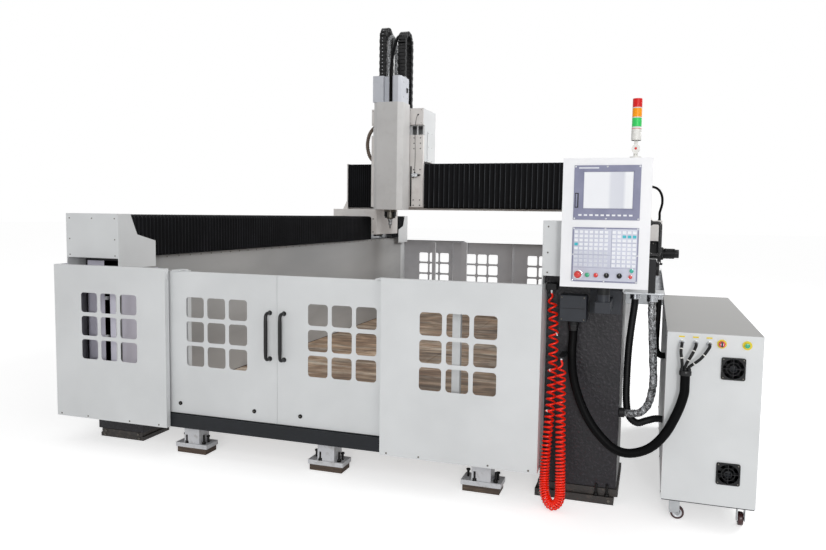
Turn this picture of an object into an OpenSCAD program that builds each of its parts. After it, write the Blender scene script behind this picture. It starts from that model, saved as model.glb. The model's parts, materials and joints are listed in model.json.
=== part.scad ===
// Moving-gantry router for foam blocks, with an operator pendant and a drive cabinet.
// Millimetres, +Z up. The front panels face -Y and the floor is z = 0.
// Inside the modules, x is counted from the machine's centre line and y from the front panels.

/* [Machine] */
// Length from the front panels to the rear panels
machine_l = 6600; // [5400:50:8200]
// Distance from the centre line to a side wall's inner face
wall_in = 1575; // [1500:5:2100]
// Thickness of a side wall
wall_t = 310; // [260:5:380]
// Height of the walls' top above the floor
wall_top = 1345; // [1200:5:1600]
// Distance from the panels' plane to the walls' ends
wall_setback = 220; // [200:5:300]
// Height of the boards' top above the floor
table_top = 220; // [190:5:400]
// Thickness of the work boards
board_t = 50; // [18:1:60]

/* [Enclosure] */
// Bottom edge of the panels above the floor
panel_z0 = 200; // [180:5:260]
// Height of the panels
panel_h = 1100; // [950:10:1140]
// How far the left fixed panel reaches past the wall's outer face
panel_over = 80; // [60:5:120]
// Opening from the door seam to the left fixed panel
opening_l = 815; // [700:5:830]
// Opening from the door seam to the right fixed panel
opening_r = 750; // [700:5:830]
// Door seam's x on the front side
front_seam = -205; // [-300:5:0]
// Door seam's x on the rear side
rear_seam = 140; // [0:5:300]
// Width of each sliding door
door_w = 921; // [860:1:940]
// Distance from the panels' plane to the doors' outer face
door_setback = 70; // [60:1:90]
// Depth of a door's folded edge
door_t = 30; // [20:1:34]
// Sheet thickness of panels and doors
sheet_t = 3; // [2:0.5:4]
// Window opening, square
window = 140; // [100:1:145]
// Distance between window centres
window_pitch = 167; // [160:1:180]
// Corner radius of the windows
window_r = 22; // [8:1:40]
// Height of the middle windows' centre
window_z = 870; // [700:1:950]

/* [Gantry] */
// Y of the saddles' front faces at rest
saddle_y = 4990; // [4400:10:5000]
// Length of a saddle along the walls
saddle_l = 840; // [700:10:840]
// Distance from the walls' top to the underside of the saddles
saddle_lift = 70; // [55:5:95]
// Height of the saddles
saddle_h = 340; // [325:5:365]
// Height of the beam tube
beam_h = 605; // [450:5:700]
// Depth of the beam tube
beam_d = 415; // [300:5:450]
// Wall of the beam tube
beam_wall = 16; // [8:1:25]
// Size of the linear guide rails
rail = 35; // [25:5:45]
// Running gap between sliding faces
run_gap = 0.3; // [0.2:0.1:0.5]

/* [Head] */
// Width of the carriage along the beam
carriage_w = 730; // [600:10:760]
// Width of the ram
ram_w = 400; // [300:10:400]
// Depth of the ram
ram_d = 320; // [240:10:320]
// Length of the ram's column
ram_h = 1377; // [1300:1:1500]
// Chamfer of the ram's front corners
ram_chamfer = 60; // [20:5:90]
// Diameter of the spindle body
spindle_d = 168; // [120:2:220]
// Diameter of the spindle shaft
shaft_d = 70; // [50:1:90]
// Diameter of the cutter
cutter_d = 20; // [6:1:25]
// Bend radius of the cable chains
chain_r = 135; // [110:5:140]

/* [Pendant] */
// Width of the pendant
pendant_w = 458; // [440:2:520]
// Height of the pendant
pendant_h = 690; // [680:5:800]
// Thickness of the pendant
pendant_t = 110; // [90:5:120]
// Diameter of the signal lamp
lamp_d = 52; // [40:1:60]
// Height of one lamp tier
tier_h = 50; // [35:1:60]

/* [Cabinet] */
// Width of the cabinet
cabinet_w = 482; // [440:2:600]
// Depth of the cabinet
cabinet_d = 2000; // [1000:50:2050]
// Top of the cabinet above the floor
cabinet_top = 1072; // [900:2:1100]
// Underside of the cabinet above the floor
cabinet_z0 = 135; // [125:1:160]
// Diameter of the caster wheels
wheel_d = 76; // [60:1:84]
// Width of the caster wheels
wheel_w = 30; // [20:1:34]
// Frame size of the fans
fan_size = 120; // [92:1:140]

/* [Hidden] */
$fn = 48;
gap = run_gap;
wall_out = wall_in + wall_t;
wall_mid = (wall_in + wall_out) / 2;
wall_y0 = wall_setback;
wall_y1 = machine_l - wall_setback;
beam_foot_z = 165;
flange_in = wall_in - 180;
// table frame: a grid of bars, seated between the walls' foot flanges
table_half = flange_in - gap;
table_y0 = wall_y0 + 80;
table_y1 = wall_y1 - 80;
table_z0 = 115;
table_bar = 80;
table_nx = 5;
table_ny = 10;
table_px = (2 * table_half - table_bar) / table_nx;
table_py = (table_y1 - table_y0 - table_bar) / table_ny;
// rail covers and their end boxes
cover_half = 225;
cover_side = 6;
cover_y0 = 120;
cover_l = 405;
cover_z0 = wall_top - 75;
cover_z1 = wall_top + 320;
bellow_t = 14;
bellow_y0 = cover_y0 + 140;
rail_dx = 110;
// front pillar of the right wall
pillar_x0 = wall_in - 69;
pillar_x1 = wall_out + 69;
pillar_d = 500;
// fixed panels fill the width between the door openings and the walls
panel_wl = wall_out + panel_over + front_seam - opening_l;
panel_wr = pillar_x0 + 14 - front_seam - opening_r;
// feet under the panels
foot_y = 180;
foot_half = 60;
// door handles
handle_reach = 58;
handle_r = 13;
handle_half = 152;
// saddles
saddle_in = wall_mid - 300;
saddle_out = wall_mid + 475;
saddle_y1 = saddle_y + saddle_l;
saddle_z0 = wall_top + saddle_lift;
saddle_z1 = saddle_z0 + saddle_h;
skirt_t = 40;
skirt_z0 = saddle_z0 - 275;
block_z0 = wall_top + 17;
// beam
beam_half = wall_mid + 185;
beam_z0 = saddle_z1 + gap;
beam_z1 = beam_z0 + beam_h;
beam_y0 = saddle_y + 235;
beam_y1 = beam_y0 + beam_d;
bcover_y0 = beam_y0 - 85;
bcover_z0 = saddle_z1 + 22;
bcover_z1 = beam_z1 + 7;
rail_za = beam_z0 + 145;
rail_zb = beam_z1 - 120;
end_t = 15;
motor_z = saddle_z0 - 157;
motor_y = saddle_y + 260;
motor_l = 205;
// carriage
car_x0 = saddle_in * -1 - 120;
car_x1 = car_x0 + carriage_w;
car_y0 = bcover_y0 - 60;
car_z0 = bcover_z0 + 10;
plate_z1 = beam_z1 + 380;
hood_z0 = bcover_z1 + 28;
hood_z1 = plate_z1 + 348;
hood_y1 = beam_y1 - 5;
// ram
ram_x = car_x0 + 355;
ram_x0 = ram_x - ram_w / 2;
ram_x1 = ram_x + ram_w / 2;
ram_y1 = car_y0 - 40;
ram_y0 = ram_y1 - ram_d;
ram_z0 = saddle_z1 - 5;
ram_z1 = ram_z0 + ram_h;
head_z0 = ram_z1 + gap;
head_z1 = head_z0 + 332;
head_y0 = ram_y0 + 15;
head_y1 = ram_y1 + 20;
spindle_y = (ram_y0 + ram_y1) / 2;
spindle_z0 = ram_z0 - 117;
// cable chains over the head
chain_ya = ram_y1 - 90;
chain_yb = chain_ya + 2 * chain_r;
chain_h = 60;
// pendant
pen_x0 = wall_in + 57;
pen_y0 = -120;
pen_z0 = 1310;
pen_xm = pen_x0 + pendant_w / 2;
pen_ym = pen_y0 + pendant_t / 2;
pen_z1 = pen_z0 + pendant_h;
lamp_x = pen_x0 + pendant_w - 90;
lamp_pivot = 50;
// bezel and key panel
face_x0 = pen_x0 + 60;
face_w = pendant_w - 116;
bezel_z0 = pen_z0 + 363;
bezel_h = 289;
keys_z0 = pen_z0 + 31;
keys_h = 292;
plate_d = 4;
stop_h = 32;
push_travel = 4;
// cabinet
cab_x0 = wall_out + 315;
cab_x1 = cab_x0 + cabinet_w;
cab_y0 = 50;
cab_y1 = cab_y0 + cabinet_d;
fan_x = cab_x0 + 338;
fan_za = cabinet_z0 + 757;
fan_zb = cabinet_z0 + 182;
gland_xa = 2274;
gland_xb = 2345;
gland_xc = 2413;
gland_z = 1020;
switch_x = cab_x0 + 276;
button_x = cab_x0 + 400;
caster_xa = cab_x0 + 65;
caster_xb = cab_x1 - 60;
caster_ya = cab_y0 + 85;
caster_yb = cab_y1 - 85;
trail = 28;
// placing: the whole is centred on x and y, without the free hoses
x_min = -(saddle_out + motor_l);
x_max = cab_x1;
y_min = pen_y0 - plate_d - stop_h;
y_max = machine_l + max(0, handle_reach + handle_r - door_setback);
shift = [-(x_min + x_max) / 2, -(y_min + y_max) / 2, 0];

// ---------- helpers ----------

module block(x, y, z) {
    translate([x[0], y[0], z[0]])
        cube([x[1] - x[0], y[1] - y[0], z[1] - z[0]]);
}

module both_sides() {
    children();
    mirror([1, 0, 0])
        children();
}

// front set as drawn, and the same set turned round for the rear
module at_front() {
    translate([front_seam, 0, 0])
        children();
}

module at_rear() {
    translate([rear_seam, machine_l, 0])
        rotate([0, 0, 180])
            children();
}

module round_square(w, h, r) {
    square([w - 2 * r, h], center = true);
    square([w, h - 2 * r], center = true);
    for (i = [-1, 1], j = [-1, 1])
        translate([i * (w / 2 - r), j * (h / 2 - r)])
            circle(r, $fn = 32);
}

module along_y(x, y, z, l, r, f = 32) {
    translate([x, y, z])
        rotate([-90, 0, 0])
            cylinder(h = l, r = r, $fn = f);
}

module along_x(x, y, z, l, r, f = 32) {
    translate([x, y, z])
        rotate([0, 90, 0])
            cylinder(h = l, r = r, $fn = f);
}

// nine rounded windows, cut through a sheet whose outer face is at y
module window_cut(x, y, depth) {
    translate([x, y + depth, window_z])
        rotate([90, 0, 0])
            linear_extrude(depth)
                for (i = [-1:1], j = [-1:1])
                    translate([i * window_pitch, j * window_pitch])
                        round_square(window, window, window_r);
}

// smooth curve through hand-set points
function knot(p, i) = p[max(0, min(len(p) - 1, i))];
function curve_at(p, i, t) =
    let (a = knot(p, i - 1), b = knot(p, i), c = knot(p, i + 1), d = knot(p, i + 2))
    0.5 * (2 * b + (c - a) * t + (2 * a - 5 * b + 4 * c - d) * t * t
        + (3 * b - a - 3 * c + d) * t * t * t);
function curve(p, n) = [
    for (i = [0:len(p) - 2], k = [0:n - 1]) curve_at(p, i, k / n),
    p[len(p) - 1]
];
function way(c, i) =
    i == 0 ? c[1] - c[0]
    : i == len(c) - 1 ? c[i] - c[i - 1]
    : c[i + 1] - c[i - 1];
function ring(c, i, r, side, sides) =
    let (t = way(c, i) / norm(way(c, i)), u = cross(side, t) / norm(cross(side, t)), v = cross(t, u))
    [for (k = [0:sides - 1]) c[i] + r * (cos(360 * k / sides) * u + sin(360 * k / sides) * v)];

// tube of radius r along c; side is a direction that the route never takes
module tube(c, r, side, sides = 8) {
    n = len(c);
    points = [for (i = [0:n - 1], p = ring(c, i, r, side, sides)) p];
    skin = [
        for (i = [0:n - 2], k = [0:sides - 1])
            [i * sides + k, (i + 1) * sides + k, (i + 1) * sides + (k + 1) % sides, i * sides + (k + 1) % sides]
    ];
    first = [[for (k = [0:sides - 1]) k]];
    last = [[for (k = [sides - 1:-1:0]) (n - 1) * sides + k]];
    polyhedron(points = points, faces = concat(skin, first, last));
}

// ---------- hose routes, set by hand ----------

coil_path = [
    [1556, 150, 1262], [1556, 150, 1205], [1570, 138, 1110], [1576, 130, 980], [1578, 120, 770],
    [1572, 105, 560], [1560, 85, 350], [1556, 60, 170], [1570, 20, 75], [1612, -12, 34],
    [1654, -20, 75], [1656, -10, 185], [1648, 20, 380], [1640, 45, 575], [1634, 62, 760], [1634, 62, 880]
];
coil_end = coil_path[len(coil_path) - 1];
main_path = [
    [1685, 155, 1064], [1685, 155, 1000], [1684, 132, 890], [1700, 84, 775], [1745, 40, 650],
    [1800, 12, 550], [1862, -4, 474], [1942, -20, 410], [2028, -30, 396], [2128, -30, 435],
    [2206, -30, 522], [2263, -30, 643], [2293, -30, 745], [2296, -30, 800], [2296, -30, 855]
];
cable_a_path = [
    [2278, -30, 881], [2278, -30, 915], [2270, -26, 980], [2274, -8, 1014], [2274, 8, 1020], [2274, 20, 1020]
];
cable_b_path = [
    [2296, -30, 881], [2296, -30, 908], [2326, -32, 970], [2344, -14, 1012], [2345, 8, 1020], [2345, 20, 1020]
];
cable_c_path = [
    [2314, -30, 881], [2314, -30, 900], [2368, -40, 950], [2408, -22, 1006], [2413, 4, 1020], [2413, 20, 1020]
];
wrap_path = [
    [2114, 250, 1249], [2114, 250, 1180], [2119, 250, 1070], [2132, 250, 880], [2138, 246, 735],
    [2118, 242, 620], [2076, 240, 562], [2030, 240, 550], [1986, 240, 550]
];
wrap_end = wrap_path[len(wrap_path) - 1];
feed_path = [
    [2017, 360, 1249], [2017, 360, 1180], [2003, 360, 1040], [1992, 360, 900], [1988, 360, 740],
    [1990, 360, 600], [2008, 360, 505], [2056, 360, 464], [2108, 360, 482], [2160, 360, 500],
    [cab_x0 - gap, 360, 500]
];
loop_path = [
    [2150, 400, 1249], [2150, 400, 1160], [2147, 400, 1040], [2146, 400, 950], [2152, 400, 900],
    [2172, 400, 876], [cab_x0 - gap, 400, 876]
];

// ---------- side walls, table and enclosure ----------

module walls() {
    color([0.2, 0.19, 0.21]) {
        // left wall, hollow, open at both ends
        mirror([1, 0, 0])
            wall_tube(wall_y0);
        wall_tube(wall_y0 + pillar_d + gap);
        // front pillar of the right wall
        difference() {
            block([pillar_x0, pillar_x1], [wall_y0, wall_y0 + pillar_d], [90, wall_top]);
            block([pillar_x0 + 12, pillar_x1 - 12], [wall_y0 + 12, wall_y0 + pillar_d - 12], [89, wall_top - 40]);
        }
        both_sides()
            for (i = [-1, 1])
                block([wall_mid + i * rail_dx - rail / 2, wall_mid + i * rail_dx + rail / 2],
                    [wall_y0 + 520, wall_y1 - 520], [wall_top + gap, wall_top + gap + rail + 5]);
    }
}

module wall_tube(y0) {
    difference() {
        block([wall_in, wall_out], [y0, wall_y1], [beam_foot_z, wall_top]);
        block([wall_in + 15, wall_out - 15], [y0 - 1, wall_y1 + 1], [beam_foot_z + 15, wall_top - 25]);
    }
    // foot flange, wider towards the table
    block([flange_in, wall_in + 220], [y0, wall_y1], [60, beam_foot_z]);
}

module wall_sheets() {
    color([0.68, 0.68, 0.67]) {
        // linings; the right one starts behind the pillar
        block([-wall_in + gap, -wall_in + 3 + gap], [wall_y0, wall_y1], [table_top + 3, wall_top - 2]);
        block([wall_in - 3 - gap, wall_in - gap], [wall_y0 + pillar_d + gap, wall_y1], [table_top + 3, wall_top - 2]);
        // tray along the right wall's outer side
        difference() {
            block([wall_out + gap, wall_out + 335], [2150, wall_y1 - 480], [975, 1040]);
            block([wall_out + 4, wall_out + 331], [2149, wall_y1 - 479], [979, 1041]);
        }
        for (i = [0:22])
            block([wall_out + 3, wall_out + 332], [2170 + i * 160, 2190 + i * 160], [978, 1020]);
    }
}

module foot(x) {
    translate([x, foot_y, 0]) {
        // box and plate
        block([-foot_half, foot_half], [-foot_half, foot_half], [70, panel_z0 - gap]);
        block([-125, 125], [-70, 70], [40, 70]);
        // pad below, and two jack bolts
        block([-115, 115], [-65, 65], [0, 39.7]);
        for (i = [-1, 1]) {
            translate([i * 94, 0, 70 + gap])
                cylinder(h = 40, r = 8, $fn = 24);
            translate([i * 94, 0, 110 + gap])
                cylinder(h = 10, r = 14, $fn = 6);
        }
    }
}

module floor_feet() {
    color([0.75, 0.75, 0.76]) {
        for (x = [-700, 330, 1370]) {
            at_front()
                foot(x);
            at_rear()
                foot(x);
        }
        // stacked plates under the walls
        for (i = [0:4]) {
            y = wall_y0 + (wall_y1 - wall_y0 - 300) * i / 4;
            mirror([1, 0, 0])
                wall_pad(y);
            if (i > 0)
                wall_pad(y);
        }
        // levelling feet under the table frame
        for (i = [0:2:table_nx], j = [1:2:table_ny - 1])
            translate([-table_half + table_bar / 2 + i * table_px, table_y0 + table_bar / 2 + j * table_py, 0])
                cylinder(h = table_z0 - gap, r = 36, $fn = 24);
        // plates under the pillar
        block([pillar_x0 - 24, pillar_x1 - 10], [wall_y0 - 25, wall_y0 + pillar_d], [0, 45 - gap]);
        block([pillar_x0 - 10, pillar_x1 + 12], [wall_y0 - 5, wall_y0 + pillar_d], [45, 90 - gap]);
    }
}

module wall_pad(y) {
    block([flange_in, wall_in + 200], [y, y + 300], [0, 30 - gap]);
    block([flange_in + 10, wall_in + 190], [y, y + 300], [30, 60 - gap]);
}

// side profile of a rail-end box: tall at the end, falling towards the machine
module end_profile() {
    polygon([
        [0, cover_z0], [cover_l, cover_z0], [cover_l, wall_top + 119],
        [200, wall_top + 170], [130, cover_z1], [0, cover_z1]
    ]);
}

module end_box() {
    translate([0, cover_y0, 0]) {
        for (x = [wall_mid - cover_half - cover_side, wall_mid + cover_half])
            translate([x + cover_side, 0, 0])
                rotate([90, 0, -90])
                    mirror([1, 0, 0])
                        linear_extrude(cover_side)
                            end_profile();
        // front, top and bottom sheets
        block([wall_mid - cover_half, wall_mid + cover_half], [0, 4], [wall_top + gap, cover_z1]);
        block([wall_mid - cover_half, wall_mid + cover_half], [0, 130], [cover_z1 - 4, cover_z1]);
        block([wall_mid - cover_half, wall_mid + cover_half], [0, 130], [wall_top + gap, wall_top + 5]);
    }
}

module rail_end_boxes() {
    color([0.83, 0.83, 0.84]) {
        both_sides()
            end_box();
        translate([0, machine_l, 0])
            mirror([0, 1, 0])
                both_sides()
                    end_box();
    }
}

module table_frame() {
    color([0.3, 0.31, 0.33]) {
        difference() {
            block([-table_half, table_half], [table_y0, table_y1], [table_z0, table_top - board_t - gap]);
            for (i = [0:table_nx - 1], j = [0:table_ny - 1])
                translate([-table_half + table_bar + i * table_px, table_y0 + table_bar + j * table_py, table_z0 - 1])
                    cube([table_px - table_bar, table_py - table_bar, table_top]);
        }
    }
}

// work boards between the feet, cut out round the pillar
module boards() {
    w = wall_in - 7;
    y0 = foot_y + foot_half + 2;
    l = (machine_l - 2 * y0 + 4) / 5;
    color([0.62, 0.45, 0.3])
        difference() {
            for (i = [0, 1], j = [0:4])
                translate([i * (w + 4) - w - 2, y0 + j * l, table_top - board_t])
                    cube([w, l - 4, board_t]);
            block([pillar_x0 - 2, wall_in], [0, wall_y0 + pillar_d + 2], [0, table_top + 1]);
        }
}

// one fixed sheet from x0 to x1, with a deep return at its outer end
module fixed_sheet(x0, x1, outer, depth) {
    difference() {
        block([x0, x1], [0, 40], [panel_z0, panel_z0 + panel_h]);
        block([x0 + sheet_t, x1 - sheet_t], [sheet_t, 41], [panel_z0 + sheet_t, panel_z0 + panel_h - sheet_t]);
        window_cut((x0 + x1) / 2, -1, sheet_t + 2);
    }
    block([outer, outer + sheet_t], [1, depth], [panel_z0 + 1, panel_z0 + panel_h - 1]);
}

module panel_set() {
    fixed_sheet(-opening_l - panel_wl, -opening_l, -opening_l - panel_wl, 500);
    fixed_sheet(opening_r, opening_r + panel_wr, opening_r + panel_wr - sheet_t, wall_setback - gap);
    // posts behind the doors, and the clips that guide the doors' top edges
    z1 = panel_z0 + panel_h - 17;
    y0 = door_setback + door_t + 20;
    for (x = [-opening_l + 5, opening_r - 70])
        difference() {
            union() {
                block([x, x + 90], [y0, y0 + 40], [panel_z0 + 90 + gap, z1]);
                block([x + 10, x + 70], [door_setback - 12, y0 + 40], [z1, z1 + 7]);
            }
            block([x + 4, x + 86], [y0 + 4, y0 + 36], [panel_z0, z1 - 4]);
        }
    for (x = [-opening_l - panel_wl / 2 - 90, opening_r + panel_wr / 2 - 65])
        block([x, x + 50], [y0, y0 + 40], [panel_z0 + 90 + gap, min(z1, cover_z0 - gap)]);
}

module fixed_panels() {
    color([0.84, 0.84, 0.85]) {
        at_front()
            panel_set();
        at_rear()
            panel_set();
    }
}

// dark beam below the doors, with the rail that their rollers run on
module sill() {
    x0 = -opening_l - panel_wl + 10;
    x1 = opening_r + panel_wr - 10;
    block([x0, x1], [40 + gap, door_setback + door_t + 100], [panel_z0, panel_z0 + 90]);
    block([x0, x1], [door_setback + 10, door_setback + 18], [panel_z0 + 90, panel_z0 + 96]);
}

module door_sills() {
    color([0.17, 0.19, 0.22]) {
        at_front()
            sill();
        at_rear()
            sill();
    }
}

// a door that reaches from the seam to side * door_w
module door(side) {
    z0 = panel_z0 + 96 + gap;
    z1 = panel_z0 + panel_h - 20;
    y0 = door_setback;
    mid = side * door_w / 2;
    translate([mid, 0, 0]) {
        difference() {
            block([-door_w / 2 + 1, door_w / 2 - 1], [y0, y0 + door_t], [z0, z1]);
            block([-door_w / 2 + 1 + sheet_t, door_w / 2 - 1 - sheet_t],
                [y0 + sheet_t, y0 + door_t + 1], [z0 + sheet_t, z1 - sheet_t]);
            window_cut(0, y0 - 1, sheet_t + 2);
        }
        // roller bolts
        for (i = [-1, 1])
            along_y(i * 290, y0 - 8, 365, 8 - gap, 14);
    }
    // bow handle
    translate([side * 52, 0, 882]) {
        for (i = [-1, 1])
            along_y(0, y0 - handle_reach, i * handle_half, handle_reach - gap, handle_r - 2, 24);
        translate([0, y0 - handle_reach, -handle_half])
            cylinder(h = 2 * handle_half, r = handle_r, $fn = 24);
        for (i = [-1, 1])
            translate([0, y0 - handle_reach, i * handle_half])
                sphere(handle_r, $fn = 24);
    }
}

module door_front_left() {
    color([0.86, 0.86, 0.87])
        at_front()
            door(-1);
}

module door_front_right() {
    color([0.86, 0.86, 0.87])
        at_front()
            door(1);
}

module door_rear_left() {
    color([0.86, 0.86, 0.87])
        at_rear()
            door(1);
}

module door_rear_right() {
    color([0.86, 0.86, 0.87])
        at_rear()
            door(-1);
}

// ---------- bellows ----------

// inverted trough over one wall's rails
module wall_cover(y0, y1) {
    w = cover_half - gap;
    difference() {
        block([wall_mid - w, wall_mid + w], [y0, y1], [wall_top + 7, cover_z1 - 5]);
        block([wall_mid - w + bellow_t, wall_mid + w - bellow_t], [y0 - 1, y1 + 1],
            [wall_top, cover_z1 - 5 - bellow_t]);
    }
}

module y_bellows_front() {
    color([0.07, 0.07, 0.08])
        both_sides()
            wall_cover(bellow_y0, saddle_y - gap);
}

module y_bellows_rear() {
    color([0.07, 0.07, 0.08])
        both_sides()
            wall_cover(saddle_y1 + gap, machine_l - bellow_y0);
}

// trough over the beam's rails
module beam_cover(x0, x1) {
    difference() {
        block([x0, x1], [bcover_y0, beam_y0 - 2], [bcover_z0, bcover_z1]);
        block([x0 - 1, x1 + 1], [bcover_y0 + bellow_t, beam_y0], [bcover_z0 + bellow_t, bcover_z1 - bellow_t]);
    }
}

module x_bellows_left() {
    color([0.07, 0.07, 0.08])
        beam_cover(-beam_half + gap, car_x0 - gap);
}

module x_bellows_right() {
    color([0.07, 0.07, 0.08])
        beam_cover(car_x1 + gap, beam_half - gap);
}

// ---------- gantry ----------

module saddle() {
    // body
    block([saddle_in, saddle_out], [saddle_y, saddle_y1], [saddle_z0, saddle_z1 - 95]);
    block([saddle_in, saddle_out - 140], [saddle_y, saddle_y1], [saddle_z1 - 96, saddle_z1]);
    // outer skirt that carries the drive motor
    block([saddle_out - skirt_t, saddle_out], [saddle_y + 60, saddle_y1 - 60], [skirt_z0, saddle_z1 - 95]);
    // slanted shoulder beside the beam's end
    translate([0, beam_y1 - 20, 0])
        rotate([90, 0, 0])
            linear_extrude(beam_d - 60)
                polygon([
                    [beam_half + end_t + gap, saddle_z1 - 97], [saddle_out - 110, saddle_z1 - 97],
                    [beam_half + end_t + gap, saddle_z1 + 230]
                ]);
    // guide blocks
    for (i = [-1, 1], j = [0, 1])
        translate([wall_mid + i * rail_dx, saddle_y + 60 + j * (saddle_l - 300), 0])
            difference() {
                block([-55, 55], [0, 180], [block_z0, saddle_z0 + 1]);
                block([-rail / 2 - gap, rail / 2 + gap], [-1, 181], [0, wall_top + rail + 5 + 2 * gap]);
            }
}

module saddles() {
    color([0.8, 0.79, 0.77])
        both_sides()
            saddle();
}

module beam() {
    color([0.78, 0.78, 0.78]) {
        difference() {
            block([-beam_half + gap, beam_half - gap], [beam_y0, beam_y1], [beam_z0, beam_z1]);
            block([-beam_half, beam_half], [beam_y0 + beam_wall, beam_y1 - beam_wall],
                [beam_z0 + beam_wall, beam_z1 - beam_wall]);
        }
        both_sides()
            block([beam_half, beam_half + end_t], [bcover_y0 - 5, beam_y1], [beam_z0, bcover_z1 + 5]);
        for (z = [rail_za, rail_zb])
            block([-beam_half + 20, beam_half - 20], [beam_y0 - rail - gap, beam_y0 - gap],
                [z - rail / 2, z + rail / 2]);
    }
}

module y_motors() {
    color([0.06, 0.06, 0.07]) {
        both_sides() {
            x = saddle_out + gap;
            block([x, x + 22], [motor_y - 75, motor_y + 75], [motor_z - 75, motor_z + 75]);
            along_x(x + 22, motor_y, motor_z, 128, 64, 48);
            along_x(x + 150, motor_y, motor_z, motor_l - 150 - gap, 52, 48);
        }
        // cable loop from the beam's right end down to the saddle
        y = motor_y - 12;
        x0 = beam_half + end_t;
        x1 = saddle_out - 35;
        z1 = beam_z0 + 325;
        z0 = saddle_z1 - 95;
        tube(curve([
            [x0 + gap, y, z1], [x0 + 40, y, z1], [x0 + 80, y, z1], [x1 - 45, y, z1 - 30], [x1 + 12, y, z1 - 105],
            [x1 + 24, y, z1 - 210], [x1, y, z0 + 100], [x1, y, z0 + 50], [x1, y, z0 + gap]
        ], 2), 15, [0, 1, 0]);
    }
}

// ---------- carriage and ram ----------

module carriage() {
    color([0.8, 0.8, 0.8]) {
        // face plate with guide blocks behind it
        block([car_x0, car_x1], [car_y0, bcover_y0], [car_z0, plate_z1]);
        for (x = [car_x0 + 40, car_x1 - 200], z = [rail_za, rail_zb])
            difference() {
                block([x, x + 160], [bcover_y0 - 1, beam_y0 - 12], [z - 50, z + 50]);
                block([x - 1, x + 161], [beam_y0 - rail - 2 * gap, beam_y0], [z - rail / 2 - gap, z + rail / 2 + gap]);
            }
        // hood above the beam
        difference() {
            union() {
                block([car_x0, car_x1], [bcover_y0 + gap, hood_y1], [hood_z0, hood_z1]);
                block([car_x0, car_x1], [car_y0, bcover_y0 + 1], [plate_z1 + 132, hood_z1]);
            }
            block([car_x0 + 12, car_x1 - 12], [bcover_y0 + 12, hood_y1 - 12], [hood_z0 - 1, hood_z1 - 12]);
            for (i = [0, 1])
                block([car_x1 - 170 + i * 82, car_x1 - 108 + i * 82], [bcover_y0 - 1, bcover_y0 + 20],
                    [plate_z1 + 8, plate_z1 + 120]);
        }
        // access cover on the hood's side
        block([car_x1 + gap, car_x1 + 15], [hood_y1 - 380, hood_y1 - 195], [hood_z0, hood_z0 + 400]);
    }
}

module carriage_conduit() {
    color([0.3, 0.27, 0.24])
        tube(curve([
            [car_x0 - gap, hood_y1 - 330, hood_z1 - 225], [car_x0 - 30, hood_y1 - 330, hood_z1 - 225],
            [car_x0 - 60, hood_y1 - 330, hood_z1 - 225], [car_x0 - 122, hood_y1 - 330, hood_z1 - 310],
            [car_x0 - 148, hood_y1 - 330, hood_z1 - 446], [car_x0 - 122, hood_y1 - 330, hood_z1 - 582],
            [car_x0 - 60, hood_y1 - 330, hood_z1 - 668], [car_x0 - 30, hood_y1 - 330, hood_z1 - 668],
            [car_x0 - gap, hood_y1 - 330, hood_z1 - 668]
        ], 2), 20, [0, 1, 0]);
}

module ram() {
    color([0.8, 0.8, 0.8]) {
        c = ram_chamfer;
        translate([0, 0, ram_z0])
            linear_extrude(ram_h)
                polygon([
                    [ram_x0 + c, ram_y0], [ram_x1 - c, ram_y0], [ram_x1, ram_y0 + c], [ram_x1, ram_y1],
                    [ram_x0, ram_y1], [ram_x0, ram_y0 + c]
                ]);
        for (i = [-1, 1])
            block([ram_x + i * 130 - 20, ram_x + i * 130 + 20], [ram_y1, car_y0 - gap], [ram_z0 + 10, ram_z1 - 10]);
        // motor head, with a channel down its front
        difference() {
            translate([0, 0, head_z0])
                linear_extrude(head_z1 - head_z0)
                    polygon([
                        [ram_x0 - 5, head_y0], [ram_x1 - 60, head_y0], [ram_x1 - 25, head_y0 + 35],
                        [ram_x1 - 25, head_y1], [ram_x0 - 5, head_y1]
                    ]);
            block([ram_x - 60, ram_x + 70], [head_y0 - 1, head_y0 + 60], [head_z0 - 1, head_z1 + 1]);
        }
        // post between the chain's legs
        block([ram_x0 + 25, ram_x0 + 95], [head_y1 - 30, head_y1 - 10], [head_z1 + gap, head_z1 + 500]);
    }
}

module spindle_body() {
    color([0.12, 0.12, 0.13])
        translate([ram_x, spindle_y, spindle_z0])
            difference() {
                cylinder(h = ram_z0 - spindle_z0 - gap, r = spindle_d / 2, $fn = 64);
                translate([0, 0, -1])
                    cylinder(h = 91, r = shaft_d / 2 + gap, $fn = 64);
            }
}

module spindle_nose() {
    color([0.5, 0.5, 0.52])
        translate([ram_x, spindle_y, 0]) {
            translate([0, 0, spindle_z0 - 30])
                cylinder(h = 115, r = shaft_d / 2, $fn = 64);
            translate([0, 0, spindle_z0 - 66])
                cylinder(h = 36.5, r = shaft_d / 2 - 7, $fn = 64);
            translate([0, 0, spindle_z0 - 128])
                cylinder(h = 62.5, r = shaft_d / 2 - 12, $fn = 64);
            translate([0, 0, spindle_z0 - 180])
                cylinder(h = 53, r = cutter_d / 2, $fn = 32);
        }
}

// one chain: up from the head, over, and down to the hood
module chain_loop(x0, w, zc) {
    block([x0, x0 + w], [chain_ya - chain_h / 2, chain_ya + chain_h / 2], [head_z1 + gap, zc]);
    block([x0, x0 + w], [chain_yb - chain_h / 2, chain_yb + chain_h / 2], [hood_z1 + gap, zc]);
    translate([x0, (chain_ya + chain_yb) / 2, zc])
        rotate([90, 0, 90])
            rotate_extrude(angle = 180, $fn = 64)
                translate([chain_r - chain_h / 2, 0])
                    square([chain_h, w]);
}

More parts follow.
